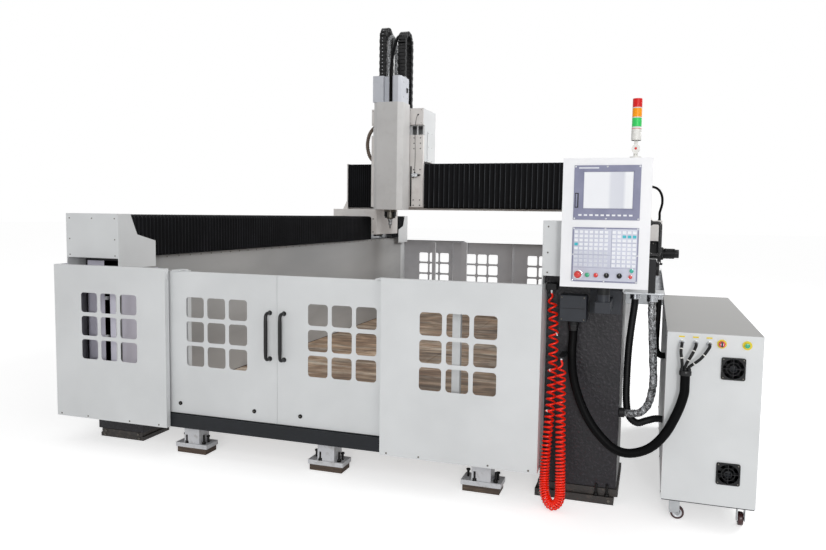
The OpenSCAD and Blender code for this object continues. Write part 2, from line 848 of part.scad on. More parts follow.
module z_chains() {
    color([0.05, 0.05, 0.06]) {
        chain_loop(ram_x0 + 5, 90, head_z1 + 521);
        chain_loop(ram_x1 - 140, 110, head_z1 + 456);
        // hose that loops over beside the second chain
        tube(curve([
            [ram_x + 30, head_y0 + 30, ram_z1 + gap], [ram_x + 30, head_y0 + 30, head_z1 - 120],
            [ram_x + 30, head_y0 + 36, head_z1 + 60], [ram_x + 32, head_y0 + 100, head_z1 + 300],
            [ram_x + 32, chain_ya + 10, head_z1 + 490], [ram_x + 32, chain_ya + 130, head_z1 + 560],
            [ram_x + 32, chain_yb - 10, head_z1 + 470], [ram_x + 32, chain_yb + 20, head_z1 + 200],
            [ram_x + 32, chain_yb + 20, hood_z1 + gap]
        ], 2), 20, [1, 0, 0]);
    }
}

// ---------- pendant ----------

module pendant_bracket() {
    color([0.72, 0.72, 0.73]) {
        // plate on the pillar, arm, and the fixed half of the swivel
        block([pen_xm - 90, pen_xm + 85], [wall_y0 - 10 - gap, wall_y0 - gap], [1130, 1270]);
        block([pen_xm - 40, pen_xm + 40], [pen_ym - 40, wall_y0 - 9], [1170, 1230]);
        translate([pen_xm, pen_ym, 1229])
            cylinder(h = 40, r = 34);
        translate([pen_xm, pen_ym, 1260])
            cylinder(h = 40, r = 14);
    }
}

module pendant_housing() {
    color([0.9, 0.9, 0.91]) {
        difference() {
            block([pen_x0, pen_x0 + pendant_w], [pen_y0, pen_y0 + pendant_t], [pen_z0, pen_z1]);
            block([pen_x0 + 3, pen_x0 + pendant_w - 3], [pen_y0 + 20, pen_y0 + pendant_t + 1],
                [pen_z0 + 3, pen_z1 - 3]);
            for (x = control_x)
                along_y(face_x0 + x, pen_y0 - 1, keys_z0 + 38, 22, 7 + gap);
        }
        // rear cover
        block([pen_x0 + 3 + gap, pen_x0 + pendant_w - 3 - gap], [pen_y0 + pendant_t - 3, pen_y0 + pendant_t],
            [pen_z0 + 3 + gap, pen_z1 - 3 - gap]);
        // turning half of the swivel
        translate([pen_xm, pen_ym, 1269 + gap])
            difference() {
                cylinder(h = pen_z0 - 1269 - 2 * gap, r = 34);
                translate([0, 0, -1])
                    cylinder(h = 60, r = 14 + gap);
            }
        lamp_foot();
    }
}

module pendant_panels() {
    color([0.5, 0.5, 0.58]) {
        difference() {
            block([face_x0, face_x0 + face_w], [pen_y0 - plate_d, pen_y0 - gap], [bezel_z0, bezel_z0 + bezel_h]);
            block([face_x0 + 52, face_x0 + 304], [pen_y0 - plate_d - 1, pen_y0], [bezel_z0 + 61, bezel_z0 + 254]);
        }
        difference() {
            block([face_x0, face_x0 + face_w], [pen_y0 - plate_d, pen_y0 - gap], [keys_z0, keys_z0 + keys_h]);
            for (x = control_x)
                along_y(face_x0 + x, pen_y0 - plate_d - 1, keys_z0 + 38, 12, 7 + gap);
        }
        // collar of the emergency stop
        difference() {
            along_y(face_x0 + control_x[0], pen_y0 - plate_d - 2, keys_z0 + 38, 2 + gap, 25, 48);
            along_y(face_x0 + control_x[0], pen_y0 - plate_d - 3, keys_z0 + 38, 4, 7 + gap, 32);
        }
    }
    // screen
    color([0.75, 0.77, 0.9])
        block([face_x0 + 52 + gap, face_x0 + 304 - gap], [pen_y0 - 3, pen_y0 - gap],
            [bezel_z0 + 61 + gap, bezel_z0 + 254 - gap]);
}

// x of the emergency stop, the two push buttons and the two knobs along the key panel
control_x = [35, 85, 130, 185, 251];

module keys() {
    color([0.85, 0.86, 0.9]) {
        // soft keys under the screen
        for (i = [0:9])
            block([face_x0 + 26 + i * 29, face_x0 + 46 + i * 29], [pen_y0 - plate_d - 3, pen_y0 - plate_d - gap],
                [bezel_z0 + 18, bezel_z0 + 32]);
        // key field in two blocks
        for (i = [0:11], j = [0:8])
            block([face_x0 + 12 + i * 26 + (i > 6 ? 14 : 0), face_x0 + 30 + i * 26 + (i > 6 ? 14 : 0)],
                [pen_y0 - plate_d - 3, pen_y0 - plate_d - gap],
                [keys_z0 + 84 + j * 22, keys_z0 + 99 + j * 22]);
        // signal lights
        along_y(face_x0 + 307, pen_y0 - plate_d - 9, keys_z0 + 34, 9 - gap, 12, 32);
        along_y(face_x0 + 312, pen_y0 - plate_d - 9, keys_z0 + 66, 9 - gap, 13, 32);
    }
}

module pendant_handle() {
    color([0.08, 0.08, 0.09]) {
        x = pen_x0 + pendant_w + gap;
        // tube handle on the right side
        for (z = [pen_z0 + 352, pen_z0 + 180])
            along_x(x, pen_y0 + 55, z, 50, 9, 24);
        translate([x + 50, pen_y0 + 55, pen_z0 + 180])
            cylinder(h = 172, r = 9, $fn = 24);
        for (z = [pen_z0 + 352, pen_z0 + 180])
            translate([x + 50, pen_y0 + 55, z])
                sphere(9, $fn = 24);
        // side box below it
        difference() {
            block([x, x + 36], [pen_y0 + 20, pen_y0 + 90], [pen_z0 - 20, pen_z0 + 160]);
            along_x(x + 20, pen_y0 + 55, pen_z0 + 110, 20, 8 + gap);
        }
    }
}

module handwheel() {
    color([0.07, 0.07, 0.08]) {
        x = pen_x0 + pendant_w + gap + 36 + gap;
        translate([0, pen_y0 + 55, pen_z0 + 110]) {
            difference() {
                along_x(x, 0, 0, 16, 38, 48);
                along_x(x + 8, 0, 0, 9, 30, 48);
            }
            along_x(x - 14, 0, 0, 26, 8, 32);
            along_x(x + 15, 0, 26, 16, 6, 24);
        }
    }
}

// foot of the signal lamp, with one ear of its folding joint
module lamp_foot() {
    translate([lamp_x, pen_ym, pen_z1 + gap]) {
        cylinder(h = 8, r = 30);
        cylinder(h = 27, r = 11);
        translate([0, 0, lamp_pivot])
            difference() {
                union() {
                    along_y(0, -22, 0, 10, 22, 48);
                    block([-11, 11], [-22, -12], [-28, 0]);
                    block([-11, 11], [-22, 11], [-28, -23]);
                }
                along_y(0, -23, 0, 12, 7 + gap, 32);
            }
    }
}

module signal_lamp() {
    translate([lamp_x, pen_ym, pen_z1 + gap]) {
        color([0.9, 0.9, 0.9])
            translate([0, 0, lamp_pivot]) {
                along_y(0, -12 + gap, 0, 22, 22, 48);
                along_y(0, -22, 0, 11, 7, 32);
                block([-10, 10], [-5, 9], [15, 44]);
                translate([0, 0, 43])
                    cylinder(h = 66, r = lamp_d / 2);
            }
        // three lens tiers
        color([0.9, 0.35, 0.2])
            for (i = [0:2])
                translate([0, 0, lamp_pivot + 109 + gap + i * (tier_h + gap)])
                    cylinder(h = tier_h, r = lamp_d / 2 - 1);
    }
}

// a push button: a shaft in the panel and a round head that stands clear of the panel by its travel
module push(x, z, r, h) {
    y = pen_y0 - plate_d;
    along_y(x, y - h, z, h - push_travel - 3, r, 40);
    along_y(x, y - push_travel - 4, z, 26, 7, 32);
}

module e_stop() {
    color([0.8, 0.08, 0.06])
        push(face_x0 + control_x[0], keys_z0 + 38, 20, stop_h);
}

module start_button() {
    color([0.1, 0.6, 0.3])
        push(face_x0 + control_x[1], keys_z0 + 38, 12, 16);
}

module stop_button() {
    color([0.8, 0.1, 0.08])
        push(face_x0 + control_x[2], keys_z0 + 38, 12, 16);
}

module knob_left() {
    color([0.15, 0.15, 0.16]) {
        push(face_x0 + control_x[3], keys_z0 + 38, 14, 20);
        block([face_x0 + control_x[3] - 3, face_x0 + control_x[3] + 3], [pen_y0 - plate_d - 26, pen_y0 - plate_d - 19],
            [keys_z0 + 26, keys_z0 + 50]);
    }
}

module knob_right() {
    color([0.15, 0.15, 0.16]) {
        push(face_x0 + control_x[4], keys_z0 + 38, 14, 20);
        block([face_x0 + control_x[4] - 3, face_x0 + control_x[4] + 3], [pen_y0 - plate_d - 26, pen_y0 - plate_d - 19],
            [keys_z0 + 26, keys_z0 + 50]);
    }
}

// ---------- cabinet ----------

module cabinet_body() {
    color([0.85, 0.85, 0.86])
        difference() {
            block([cab_x0, cab_x1], [cab_y0, cab_y1], [cabinet_z0, cabinet_top]);
            block([cab_x0 + 4, cab_x1 - 4], [cab_y0 + 4, cab_y1 - 4], [cabinet_z0 - 1, cabinet_top - 4]);
            for (z = [fan_za, fan_zb])
                along_y(fan_x, cab_y0 - 1, z, 6, fan_size / 2 - 6, 64);
            for (x = [switch_x, button_x])
                along_y(x, cab_y0 - 1, cabinet_top - 50, 6, 11 + gap);
        }
}

module cabinet_base() {
    color([0.25, 0.25, 0.27]) {
        block([cab_x0 + 4 + gap, cab_x1 - 4 - gap], [cab_y0 + 4 + gap, cab_y1 - 4 - gap],
            [cabinet_z0 - 6, cabinet_z0 + 2]);
        // fixed rear casters
        for (x = [caster_xa, caster_xb])
            translate([x, caster_yb, 0])
                fork();
        // pivot pins of the front casters
        for (x = [caster_xa, caster_xb])
            translate([x, caster_ya, cabinet_z0 - 30])
                cylinder(h = 25, r = 9);
    }
}

// caster fork about its own swivel axis; the wheel trails behind it
module fork() {
    top = cabinet_z0 - 6 - gap;
    for (s = [-1, 1])
        difference() {
            union() {
                translate([0, trail, wheel_d / 2])
                    along_x(s * (wheel_w / 2 + 4) - 2, 0, 0, 4, 14);
                block([s * (wheel_w / 2 + 4) - 2, s * (wheel_w / 2 + 4) + 2], [-16, trail + 12],
                    [wheel_d / 2, top - 4]);
            }
            along_x(s * (wheel_w / 2 + 4) - 3, trail, wheel_d / 2, 6, 6 + gap);
        }
    difference() {
        block([-30, 30], [-30, 44], [top - 6, top]);
        translate([0, 0, top - 10])
            cylinder(h = 12, r = 9 + gap);
    }
}

module fork_left() {
    color([0.6, 0.6, 0.62])
        translate([caster_xa, caster_ya, 0])
            rotate([0, 0, -90])
                fork();
}

module fork_right() {
    color([0.6, 0.6, 0.62])
        translate([caster_xb, caster_ya, 0])
            fork();
}

module wheel(x, y, turn = 0) {
    color([0.25, 0.1, 0.1])
        translate([x, y, wheel_d / 2])
            rotate([0, 0, turn])
                translate([0, trail, 0]) {
                    along_x(-wheel_w / 2, 0, 0, wheel_w, wheel_d / 2, 48);
                    along_x(-wheel_w / 2 - 7, 0, 0, wheel_w + 14, 6, 32);
                }
}

module wheel_front_left() {
    wheel(caster_xa, caster_ya, -90);
}

module wheel_front_right() {
    wheel(caster_xb, caster_ya);
}

module wheel_rear_left() {
    wheel(caster_xa, caster_yb);
}

module wheel_rear_right() {
    wheel(caster_xb, caster_yb);
}

// square guard with spokes and rings in front of a fan
module fan_guard(z) {
    difference() {
        translate([fan_x, cab_y0 - gap, z])
            rotate([90, 0, 0])
                linear_extrude(8)
                    round_square(fan_size, fan_size, 10);
        difference() {
            along_y(fan_x, cab_y0 - 12, z, 16, fan_size / 2 - 7, 64);
            for (r = [20, 36])
                difference() {
                    along_y(fan_x, cab_y0 - 8 - gap, z, 8, r, 64);
                    along_y(fan_x, cab_y0 - 9, z, 10, r - 4, 64);
                }
            block([fan_x - fan_size / 2, fan_x + fan_size / 2], [cab_y0 - 8 - gap, cab_y0 - gap], [z - 2, z + 2]);
            block([fan_x - 2, fan_x + 2], [cab_y0 - 8 - gap, cab_y0 - gap], [z - fan_size / 2, z + fan_size / 2]);
        }
    }
}

module cabinet_fittings() {
    color([0.08, 0.08, 0.09]) {
        fan_guard(fan_za);
        fan_guard(fan_zb);
        // glands of the three drive cables
        for (x = [gland_xa, gland_xb, gland_xc])
            along_y(x, 20, gland_z, cab_y0 - 20 - gap, 15);
    }
    // rings of the switch and the button
    color([0.9, 0.78, 0.1])
        for (x = [switch_x, button_x])
            difference() {
                along_y(x, cab_y0 - 4, cabinet_top - 50, 4 - gap, 24, 48);
                along_y(x, cab_y0 - 5, cabinet_top - 50, 6, 11 + gap, 32);
            }
}

// fan rotor with its motor behind it, on the cross of the guard
module fan(z) {
    color([0.1, 0.1, 0.11]) {
        along_y(fan_x, cab_y0, z, 24, 19, 48);
        for (a = [0:6])
            translate([fan_x, cab_y0 + 12, z])
                rotate([0, a * 360 / 7, 0])
                    rotate([35, 0, 0])
                        block([17, fan_size / 2 - 8], [-2, 2], [-9, 9]);
    }
}

module fan_upper() {
    fan(fan_za);
}

module fan_lower() {
    fan(fan_zb);
}

module cabinet_switch() {
    color([0.75, 0.1, 0.08]) {
        along_y(switch_x, cab_y0 - 20, cabinet_top - 50, 15, 17, 40);
        along_y(switch_x, cab_y0 - 6, cabinet_top - 50, 30, 11, 32);
        block([switch_x - 4, switch_x + 4], [cab_y0 - 26, cab_y0 - 19], [cabinet_top - 64, cabinet_top - 36]);
    }
}

module cabinet_button() {
    color([0.1, 0.6, 0.3]) {
        along_y(button_x, cab_y0 - 15, cabinet_top - 50, 7, 15, 40);
        along_y(button_x, cab_y0 - 9, cabinet_top - 50, 30, 11, 32);
    }
}

// ---------- boxes, fittings and hoses at the right front ----------

module hose_fittings() {
    color([0.1, 0.1, 0.11]) {
        // junction box on the pillar
        block([main_path[0][0] - 75, main_path[0][0] + 75], [wall_y0 - 130, wall_y0 - gap],
            [main_path[0][2] + 26, main_path[0][2] + 176]);
        // gland under the junction box
        translate(main_path[0])
            cylinder(h = 26 - gap, r = 32);
        // air outlet on the pillar, and the arm that holds the coil's other end
        block([coil_path[0][0] - 30, coil_path[0][0] + 30], [coil_path[0][1] - 32, wall_y0 - gap],
            [coil_path[0][2], coil_path[0][2] + 38]);
        block([coil_end[0] - 18, coil_end[0] + 18], [coil_end[1] - 24, wall_y0 - gap], [coil_end[2], coil_end[2] + 12]);
        // shelf that the side hoses hang from, and the gland low on the pillar
        block([pillar_x1 + gap, wrap_path[0][0] + 64], [225, 430], [wrap_path[0][2], wrap_path[0][2] + 12]);
        along_x(pillar_x1 + gap, wrap_end[1], wrap_end[2], wrap_end[0] - pillar_x1 - gap, 28);
    }
}

module coil_hose() {
    color([0.85, 0.12, 0.02])
        tube(coil_path, 30, [0.2, 1, 0.3], 10);
}

module main_hose() {
    color([0.05, 0.05, 0.06])
        tube(main_path, 25, [0.1, 1, 0.1], 10);
}

// where the thick hose becomes three cables
module splitter() {
    color([0.1, 0.1, 0.11])
        translate(main_path[len(main_path) - 1])
            cylinder(h = 26, r = 32);
}

module cable_a() {
    color([0.06, 0.06, 0.07])
        tube(cable_a_path, 8, [1, 0, 0]);
}

module cable_b() {
    color([0.06, 0.06, 0.07])
        tube(cable_b_path, 8, [0.8, -0.6, 0]);
}

module cable_c() {
    color([0.06, 0.06, 0.07])
        tube(cable_c_path, 8, [0.6, -0.8, 0]);
}

module wrapped_hose() {
    color([0.5, 0.5, 0.52])
        tube(wrap_path, 24, [0, 1, 0]);
}

module feed_hose() {
    color([0.05, 0.05, 0.06])
        tube(feed_path, 22, [0, 1, 0]);
}

module loop_hose() {
    color([0.05, 0.05, 0.06])
        tube(loop_path, 18, [0, 1, 0]);
}

// ---------- one node at a time ----------

module placed() {
    translate(shift)
        children();
}

placed() walls();
placed() wall_sheets();
placed() floor_feet();
placed() rail_end_boxes();
placed() table_frame();
placed() boards();
placed() fixed_panels();
placed() door_sills();
placed() pendant_bracket();
placed() y_bellows_front();
placed() y_bellows_rear();
placed() cabinet_body();
placed() cabinet_base();
placed() cabinet_fittings();
placed() hose_fittings();
placed() coil_hose();
placed() main_hose();
placed() splitter();
placed() cable_a();
placed() cable_b();
placed() cable_c();
placed() wrapped_hose();
placed() feed_hose();
placed() loop_hose();
placed() saddles();
placed() beam();
placed() y_motors();
placed() x_bellows_left();
placed() x_bellows_right();
placed() carriage();
placed() carriage_conduit();
placed() ram();
placed() spindle_body();
placed() z_chains();
placed() spindle_nose();
placed() door_front_left();
placed() door_front_right();
placed() door_rear_left();
placed() door_rear_right();
placed() pendant_housing();
placed() pendant_panels();
placed() keys();
placed() pendant_handle();
placed() signal_lamp();
placed() e_stop();
placed() start_button();
placed() stop_button();
placed() knob_left();
placed() knob_right();
placed() handwheel();
placed() cabinet_switch();
placed() cabinet_button();
placed() fan_upper();
placed() fan_lower();
placed() fork_left();
placed() fork_right();
placed() wheel_front_left();
placed() wheel_front_right();
placed() wheel_rear_left();
placed() wheel_rear_right();
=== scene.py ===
import json
import math
import random

import bmesh
import bpy
from mathutils import Matrix, Vector


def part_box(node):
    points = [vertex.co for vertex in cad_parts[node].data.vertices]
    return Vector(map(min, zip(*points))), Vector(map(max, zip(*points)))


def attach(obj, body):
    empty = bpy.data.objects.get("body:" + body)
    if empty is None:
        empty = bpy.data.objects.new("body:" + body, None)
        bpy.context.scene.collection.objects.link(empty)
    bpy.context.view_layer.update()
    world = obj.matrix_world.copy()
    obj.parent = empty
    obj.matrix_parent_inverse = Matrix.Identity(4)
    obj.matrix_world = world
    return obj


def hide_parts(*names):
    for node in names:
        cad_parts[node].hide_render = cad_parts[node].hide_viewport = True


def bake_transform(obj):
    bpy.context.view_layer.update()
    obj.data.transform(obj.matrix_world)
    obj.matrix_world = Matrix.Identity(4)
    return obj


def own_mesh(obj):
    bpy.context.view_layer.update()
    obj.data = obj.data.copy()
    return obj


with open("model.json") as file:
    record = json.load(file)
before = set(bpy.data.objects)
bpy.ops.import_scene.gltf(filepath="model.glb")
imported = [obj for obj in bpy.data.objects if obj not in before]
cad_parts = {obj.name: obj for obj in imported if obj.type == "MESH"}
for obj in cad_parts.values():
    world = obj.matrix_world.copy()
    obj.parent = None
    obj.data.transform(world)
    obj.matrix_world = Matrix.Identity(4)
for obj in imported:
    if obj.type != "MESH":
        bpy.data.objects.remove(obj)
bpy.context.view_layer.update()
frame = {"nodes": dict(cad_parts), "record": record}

scene = bpy.context.scene
scene.view_settings.view_transform = "Standard"
# the body that each CAD node rides on
BODY = {n: b for b, members in frame["record"]["behaviour"]["bodies"].items() for n in members}
# one seed for every random draw, so that each run gives the same machine
chance = random.Random(11)
# the frame's origin, in the middle of the footprint, in millimetres from the centre line and front panels
ORIGIN_X, ORIGIN_Y = 136, 3222.5
# directions that faces look in
FRONT, BACK = (0, -1, 0), (0, 1, 0)
LEFT, RIGHT = (-1, 0, 0), (1, 0, 0)
UP, DOWN = (0, 0, 1), (0, 0, -1)


def at(x, y, z):
    """A point in millimetres from the machine's centre line and front panels, in the frame's metres."""
    return Vector(((x - ORIGIN_X) / 1000, (y - ORIGIN_Y) / 1000, z / 1000))


def from_frame(p):
    """The same, the other way round."""
    return p[0] * 1000 + ORIGIN_X, p[1] * 1000 + ORIGIN_Y, p[2] * 1000


# ---------- camera ----------

# at eye height, 4.1 m in front of the panels and 2.1 m right of the machine's centre line
CAMERA_PLACE = (1.969, -7.3125, 1.686)
YAW, PITCH, ROLL = 0.320, -0.083, 0.014
ahead = Vector((-math.sin(YAW) * math.cos(PITCH), math.cos(YAW) * math.cos(PITCH), math.sin(PITCH)))
level = Vector((math.cos(YAW), math.sin(YAW), 0))
above = level.cross(ahead)
side = math.cos(ROLL) * level + math.sin(ROLL) * above
head = math.cos(ROLL) * above - math.sin(ROLL) * level
camera = bpy.data.objects.new("camera", bpy.data.cameras.new("camera"))
scene.collection.objects.link(camera)
camera.matrix_world = Matrix.Translation(CAMERA_PLACE) @ Matrix((side, head, -ahead)).transposed().to_4x4()
camera.data.lens = 31.47
camera.data.sensor_width = 36
camera.data.clip_end = 200
scene.camera = camera

# ---------- modelling helpers ----------


def only(obj):
    """Selects one object and nothing else."""
    bpy.ops.object.select_all(action="DESELECT")
    obj.select_set(True)
    bpy.context.view_layer.objects.active = obj


def edit(obj):
    """Opens an object in edit mode with all of it selected."""
    only(obj)
    bpy.ops.object.mode_set(mode="EDIT")
    bpy.ops.mesh.select_all(action="SELECT")


def leave():
    """Goes back from edit mode."""
    bpy.ops.object.mode_set(mode="OBJECT")


def smooth(obj, angle):
    """Shades smooth across every edge flatter than angle degrees."""
    only(obj)
    bpy.ops.object.shade_smooth_by_angle(angle=math.radians(angle))
    return obj


def finish_modifier(obj, kind, **settings):
    """Adds a modifier and applies it."""
    only(obj)
    made = obj.modifiers.new(kind.lower(), kind)
    for key, value in settings.items():
        setattr(made, key, value)
    bpy.ops.object.modifier_apply(modifier=made.name)


def break_edges(obj, width, segments=2):
    """Rounds every edge sharper than 32 degrees by width millimetres."""
    finish_modifier(obj, "BEVEL", width=width / 1000, segments=segments, limit_method="ANGLE",
                    angle_limit=math.radians(32), use_clamp_overlap=True)
    smooth(obj, 50)
    finish_modifier(obj, "WEIGHTED_NORMAL", keep_sharp=True)
    return obj


def mesh_object(points, edges, faces, finish):
    """A mesh from points in the frame's metres, with one finish."""
    mesh = bpy.data.meshes.new("piece")
    mesh.from_pydata([tuple(p) for p in points], edges, faces)
    mesh.materials.append(finish)
    obj = bpy.data.objects.new("piece", mesh)
    scene.collection.objects.link(obj)
    return obj


def outward(obj):
    """Merges doubles and turns every face outwards."""
    edit(obj)
    bpy.ops.mesh.remove_doubles(threshold=0.000005)
    bpy.ops.mesh.normals_make_consistent(inside=False)
    leave()
    return obj


def rounded_box(middle, size, finish, r, segments=2):
    """A box with rounded edges; middle and size are in metres, r in millimetres."""
    bpy.ops.object.select_all(action="DESELECT")
    bpy.ops.mesh.primitive_cube_add(size=1, location=middle)
    obj = bpy.context.object
    obj.scale = size
    bpy.ops.object.transform_apply(location=True, rotation=True, scale=True)
    obj.data.materials.append(finish)
    return break_edges(obj, r, segments)


def slab(x, y, z, finish, r=2.0, segments=2):
    """A block between x, y and z, each a pair of millimetres in either order, with rounded edges."""
    lo, hi = (at(*ends) for ends in zip(*(sorted(pair) for pair in (x, y, z))))
    return rounded_box((lo + hi) / 2, hi - lo, finish, r, segments)


def turned(profile, base, axis, finish, sides=32):
    """A lathe-turned piece: profile is (radius, height) in millimetres from base along axis."""
    obj = mesh_object([(r / 1000, 0, h / 1000) for r, h in profile],
                      [(i, i + 1) for i in range(len(profile) - 1)], [], finish)
    edit(obj)
    bpy.ops.mesh.spin(steps=sides, angle=2 * math.pi, center=(0, 0, 0), axis=UP)
    leave()
    outward(obj)
    turn = Vector(axis).to_track_quat("Z", "Y").to_matrix().to_4x4()
    obj.data.transform(Matrix.Translation(base) @ turn)
    return smooth(obj, 40)


def rings(pitch, count, ring):
    """The profile of a row of like ribs: ring is the first rib's (radius, height) points."""
    return [(r, pitch * k + h) for k in range(count) for r, h in ring]


def round_circle(radius, count, start=0.0):
    """Places spread evenly on a circle, as pairs across it."""
    turns = [start + 2 * math.pi / count * k for k in range(count)]
    return [(radius * math.cos(a), radius * math.sin(a)) for a in turns]


def along(points, n):
    """A smooth curve through given points, n steps from each to the next."""
    line = []
    for i in range(len(points) - 1):
        a, b, c, d = (Vector(points[max(0, min(len(points) - 1, i + k))]) for k in (-1, 0, 1, 2))
        for k in range(n):
            t = k / n
            line.append(0.5 * (2 * b + (c - a) * t + (2 * a - 5 * b + 4 * c - d) * t * t
                               + (3 * b - a - 3 * c + d) * t ** 3))
    return line + [Vector(points[-1])]


def frames(line):
    """At each point of a line, its direction and two directions across it that turn as little as they can."""
    ways = [(line[min(i + 1, len(line) - 1)] - line[max(i - 1, 0)]).normalized() for i in range(len(line))]
    u = ways[0].orthogonal().normalized()
    found = []
    for w in ways:
        u = (u - u.dot(w) * w).normalized()
        found.append((w, u, w.cross(u)))
    return found


def sweep(line, radius, finish, sides=12):
    """A tube along a line of millimetre points; radius is one size or a list with one for each point."""
    n = len(line)
    radii = radius if isinstance(radius, list) else [radius] * n
    points, faces = [], []
    for p, r, (_, u, v) in zip(line, radii, frames(line)):
        for k in range(sides):
            a = 2 * math.pi * k / sides
            points.append(at(*(p + r * (math.cos(a) * u + math.sin(a) * v))))
    for i in range(n - 1):
        for k in range(sides):
            j = (k + 1) % sides
            faces.append((i * sides + k, i * sides + j, (i + 1) * sides + j, (i + 1) * sides + k))
    faces.append(tuple(range(sides - 1, -1, -1)))
    faces.append(tuple((n - 1) * sides + k for k in range(sides)))
    return smooth(mesh_object(points, [], faces, finish), 50)


def join(name, parts):
    """Joins the parts into one piece."""
    only(parts[0])
    for p in parts[1:]:
        p.select_set(True)
    bpy.ops.object.join()
    obj = bpy.context.object
    obj.name = name
    obj.data.name = name
    return obj


def repeat(obj, places):
    """Copies of obj, each with its own mesh, at each place, a matrix in the frame; obj itself is removed."""
    made = []
    for m in places:
        other = bpy.data.objects.new(obj.name, obj.data.copy())
        scene.collection.objects.link(other)
        other.data.transform(m)
        made.append(other)
    bpy.data.objects.remove(obj)
    return made


def heads(spots, axis, finish, profile, sides):
    """Screw heads of one profile, standing on a surface that faces axis, sunk in it by 0.2 mm."""
    one = turned(profile + [(profile[-1][0], -0.2), (0, -0.2)], (0, 0, 0), UP, finish, sides)
    turn = Vector(axis).to_track_quat("Z", "Y").to_matrix().to_4x4()
    return repeat(one, [Matrix.Translation(at(*spot)) @ turn for spot in spots])


def pan_heads(spots, axis, r, finish=None, h=3.4):
    """Pan-head sheet screws with a recess, zinc-plated where no other finish is said."""
    profile = [(0, h * 0.35), (r * 0.3, h * 0.35), (r * 0.36, h), (r * 0.72, h * 0.86), (r, h * 0.3)]
    return heads(spots, axis, finish or SCREW, profile, 10)


def cap_heads(spots, axis, finish, r=8.0, h=6.0):
    """Socket-head cap screws."""
    profile = [(0, h * 0.4), (r * 0.5, h * 0.4), (r * 0.52, h), (r * 0.9, h), (r, h * 0.88)]
    return heads(spots, axis, finish, profile, 12)


def stand_for(obj, node, name=None):
    """Rides a piece on the body of the CAD node that it stands for, and hides the node."""
    if name:
        obj.name = name
        obj.data.name = name
    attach(obj, BODY[node])
    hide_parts(node)
    return obj


def shape_of(node, edge, finishes, choose=None, drop=None, segments=2):
    """A copy of a CAD node with its edges broken by edge millimetres.

    choose gives the number of a face's finish from its centre in millimetres and its normal, and drop says
    which faces belong to pieces that are modelled anew.
    """
    obj = bpy.data.objects.new(node + "_shape", frame["nodes"][node].data.copy())
    scene.collection.objects.link(obj)
    obj.data.materials.clear()
    for f in finishes:
        obj.data.materials.append(f)
    edit(obj)
    bpy.ops.mesh.customdata_custom_splitnormals_clear()
    bpy.ops.mesh.remove_doubles(threshold=0.00002)
    leave()
    if drop:
        work = bmesh.new()
        work.from_mesh(obj.data)
        gone = [f for f in work.faces if drop(*from_frame(f.calc_center_median()))]
        bmesh.ops.delete(work, geom=gone, context="FACES")
        work.to_mesh(obj.data)
        work.free()
    edit(obj)
    bpy.ops.mesh.dissolve_limited(angle_limit=math.radians(0.4))
    leave()
    break_edges(obj, edge, segments)
    for p in obj.data.polygons:
        p.material_index = choose(*from_frame(p.center), p.normal) if choose else 0
    return obj


# ---------- finishes ----------


def linear(code):
    """An sRGB hex colour as linear values."""
    parts = [int(code[i:i + 2], 16) / 255 for i in (1, 3, 5)]
    return tuple(c / 12.92 if c <= 0.04045 else ((c + 0.055) / 1.055) ** 2.4 for c in parts) + (1.0,)


def add(tree, kind, inputs=None, **settings):
    """Adds a node with its settings, and its inputs as links or values."""
    node = tree.nodes.new(kind)
    for key, value in settings.items():
        setattr(node, key, value)
    for key, value in (inputs or {}).items():
        if isinstance(value, bpy.types.NodeSocket):
            tree.links.new(value, node.inputs[key])
        else:
            node.inputs[key].default_value = value
    return node


def new_material(name):
    """A material with its node tree, its shader and its Object coordinates."""
    made = bpy.data.materials.new(name)
    made.use_nodes = True
    tree = made.node_tree
    shader = tree.nodes["Principled BSDF"]
    where = add(tree, "ShaderNodeTexCoord").outputs["Object"]
    return made, tree, shader, where


def per(mm):
    """Noise scale whose features are this many millimetres across."""
    return 1000 / mm


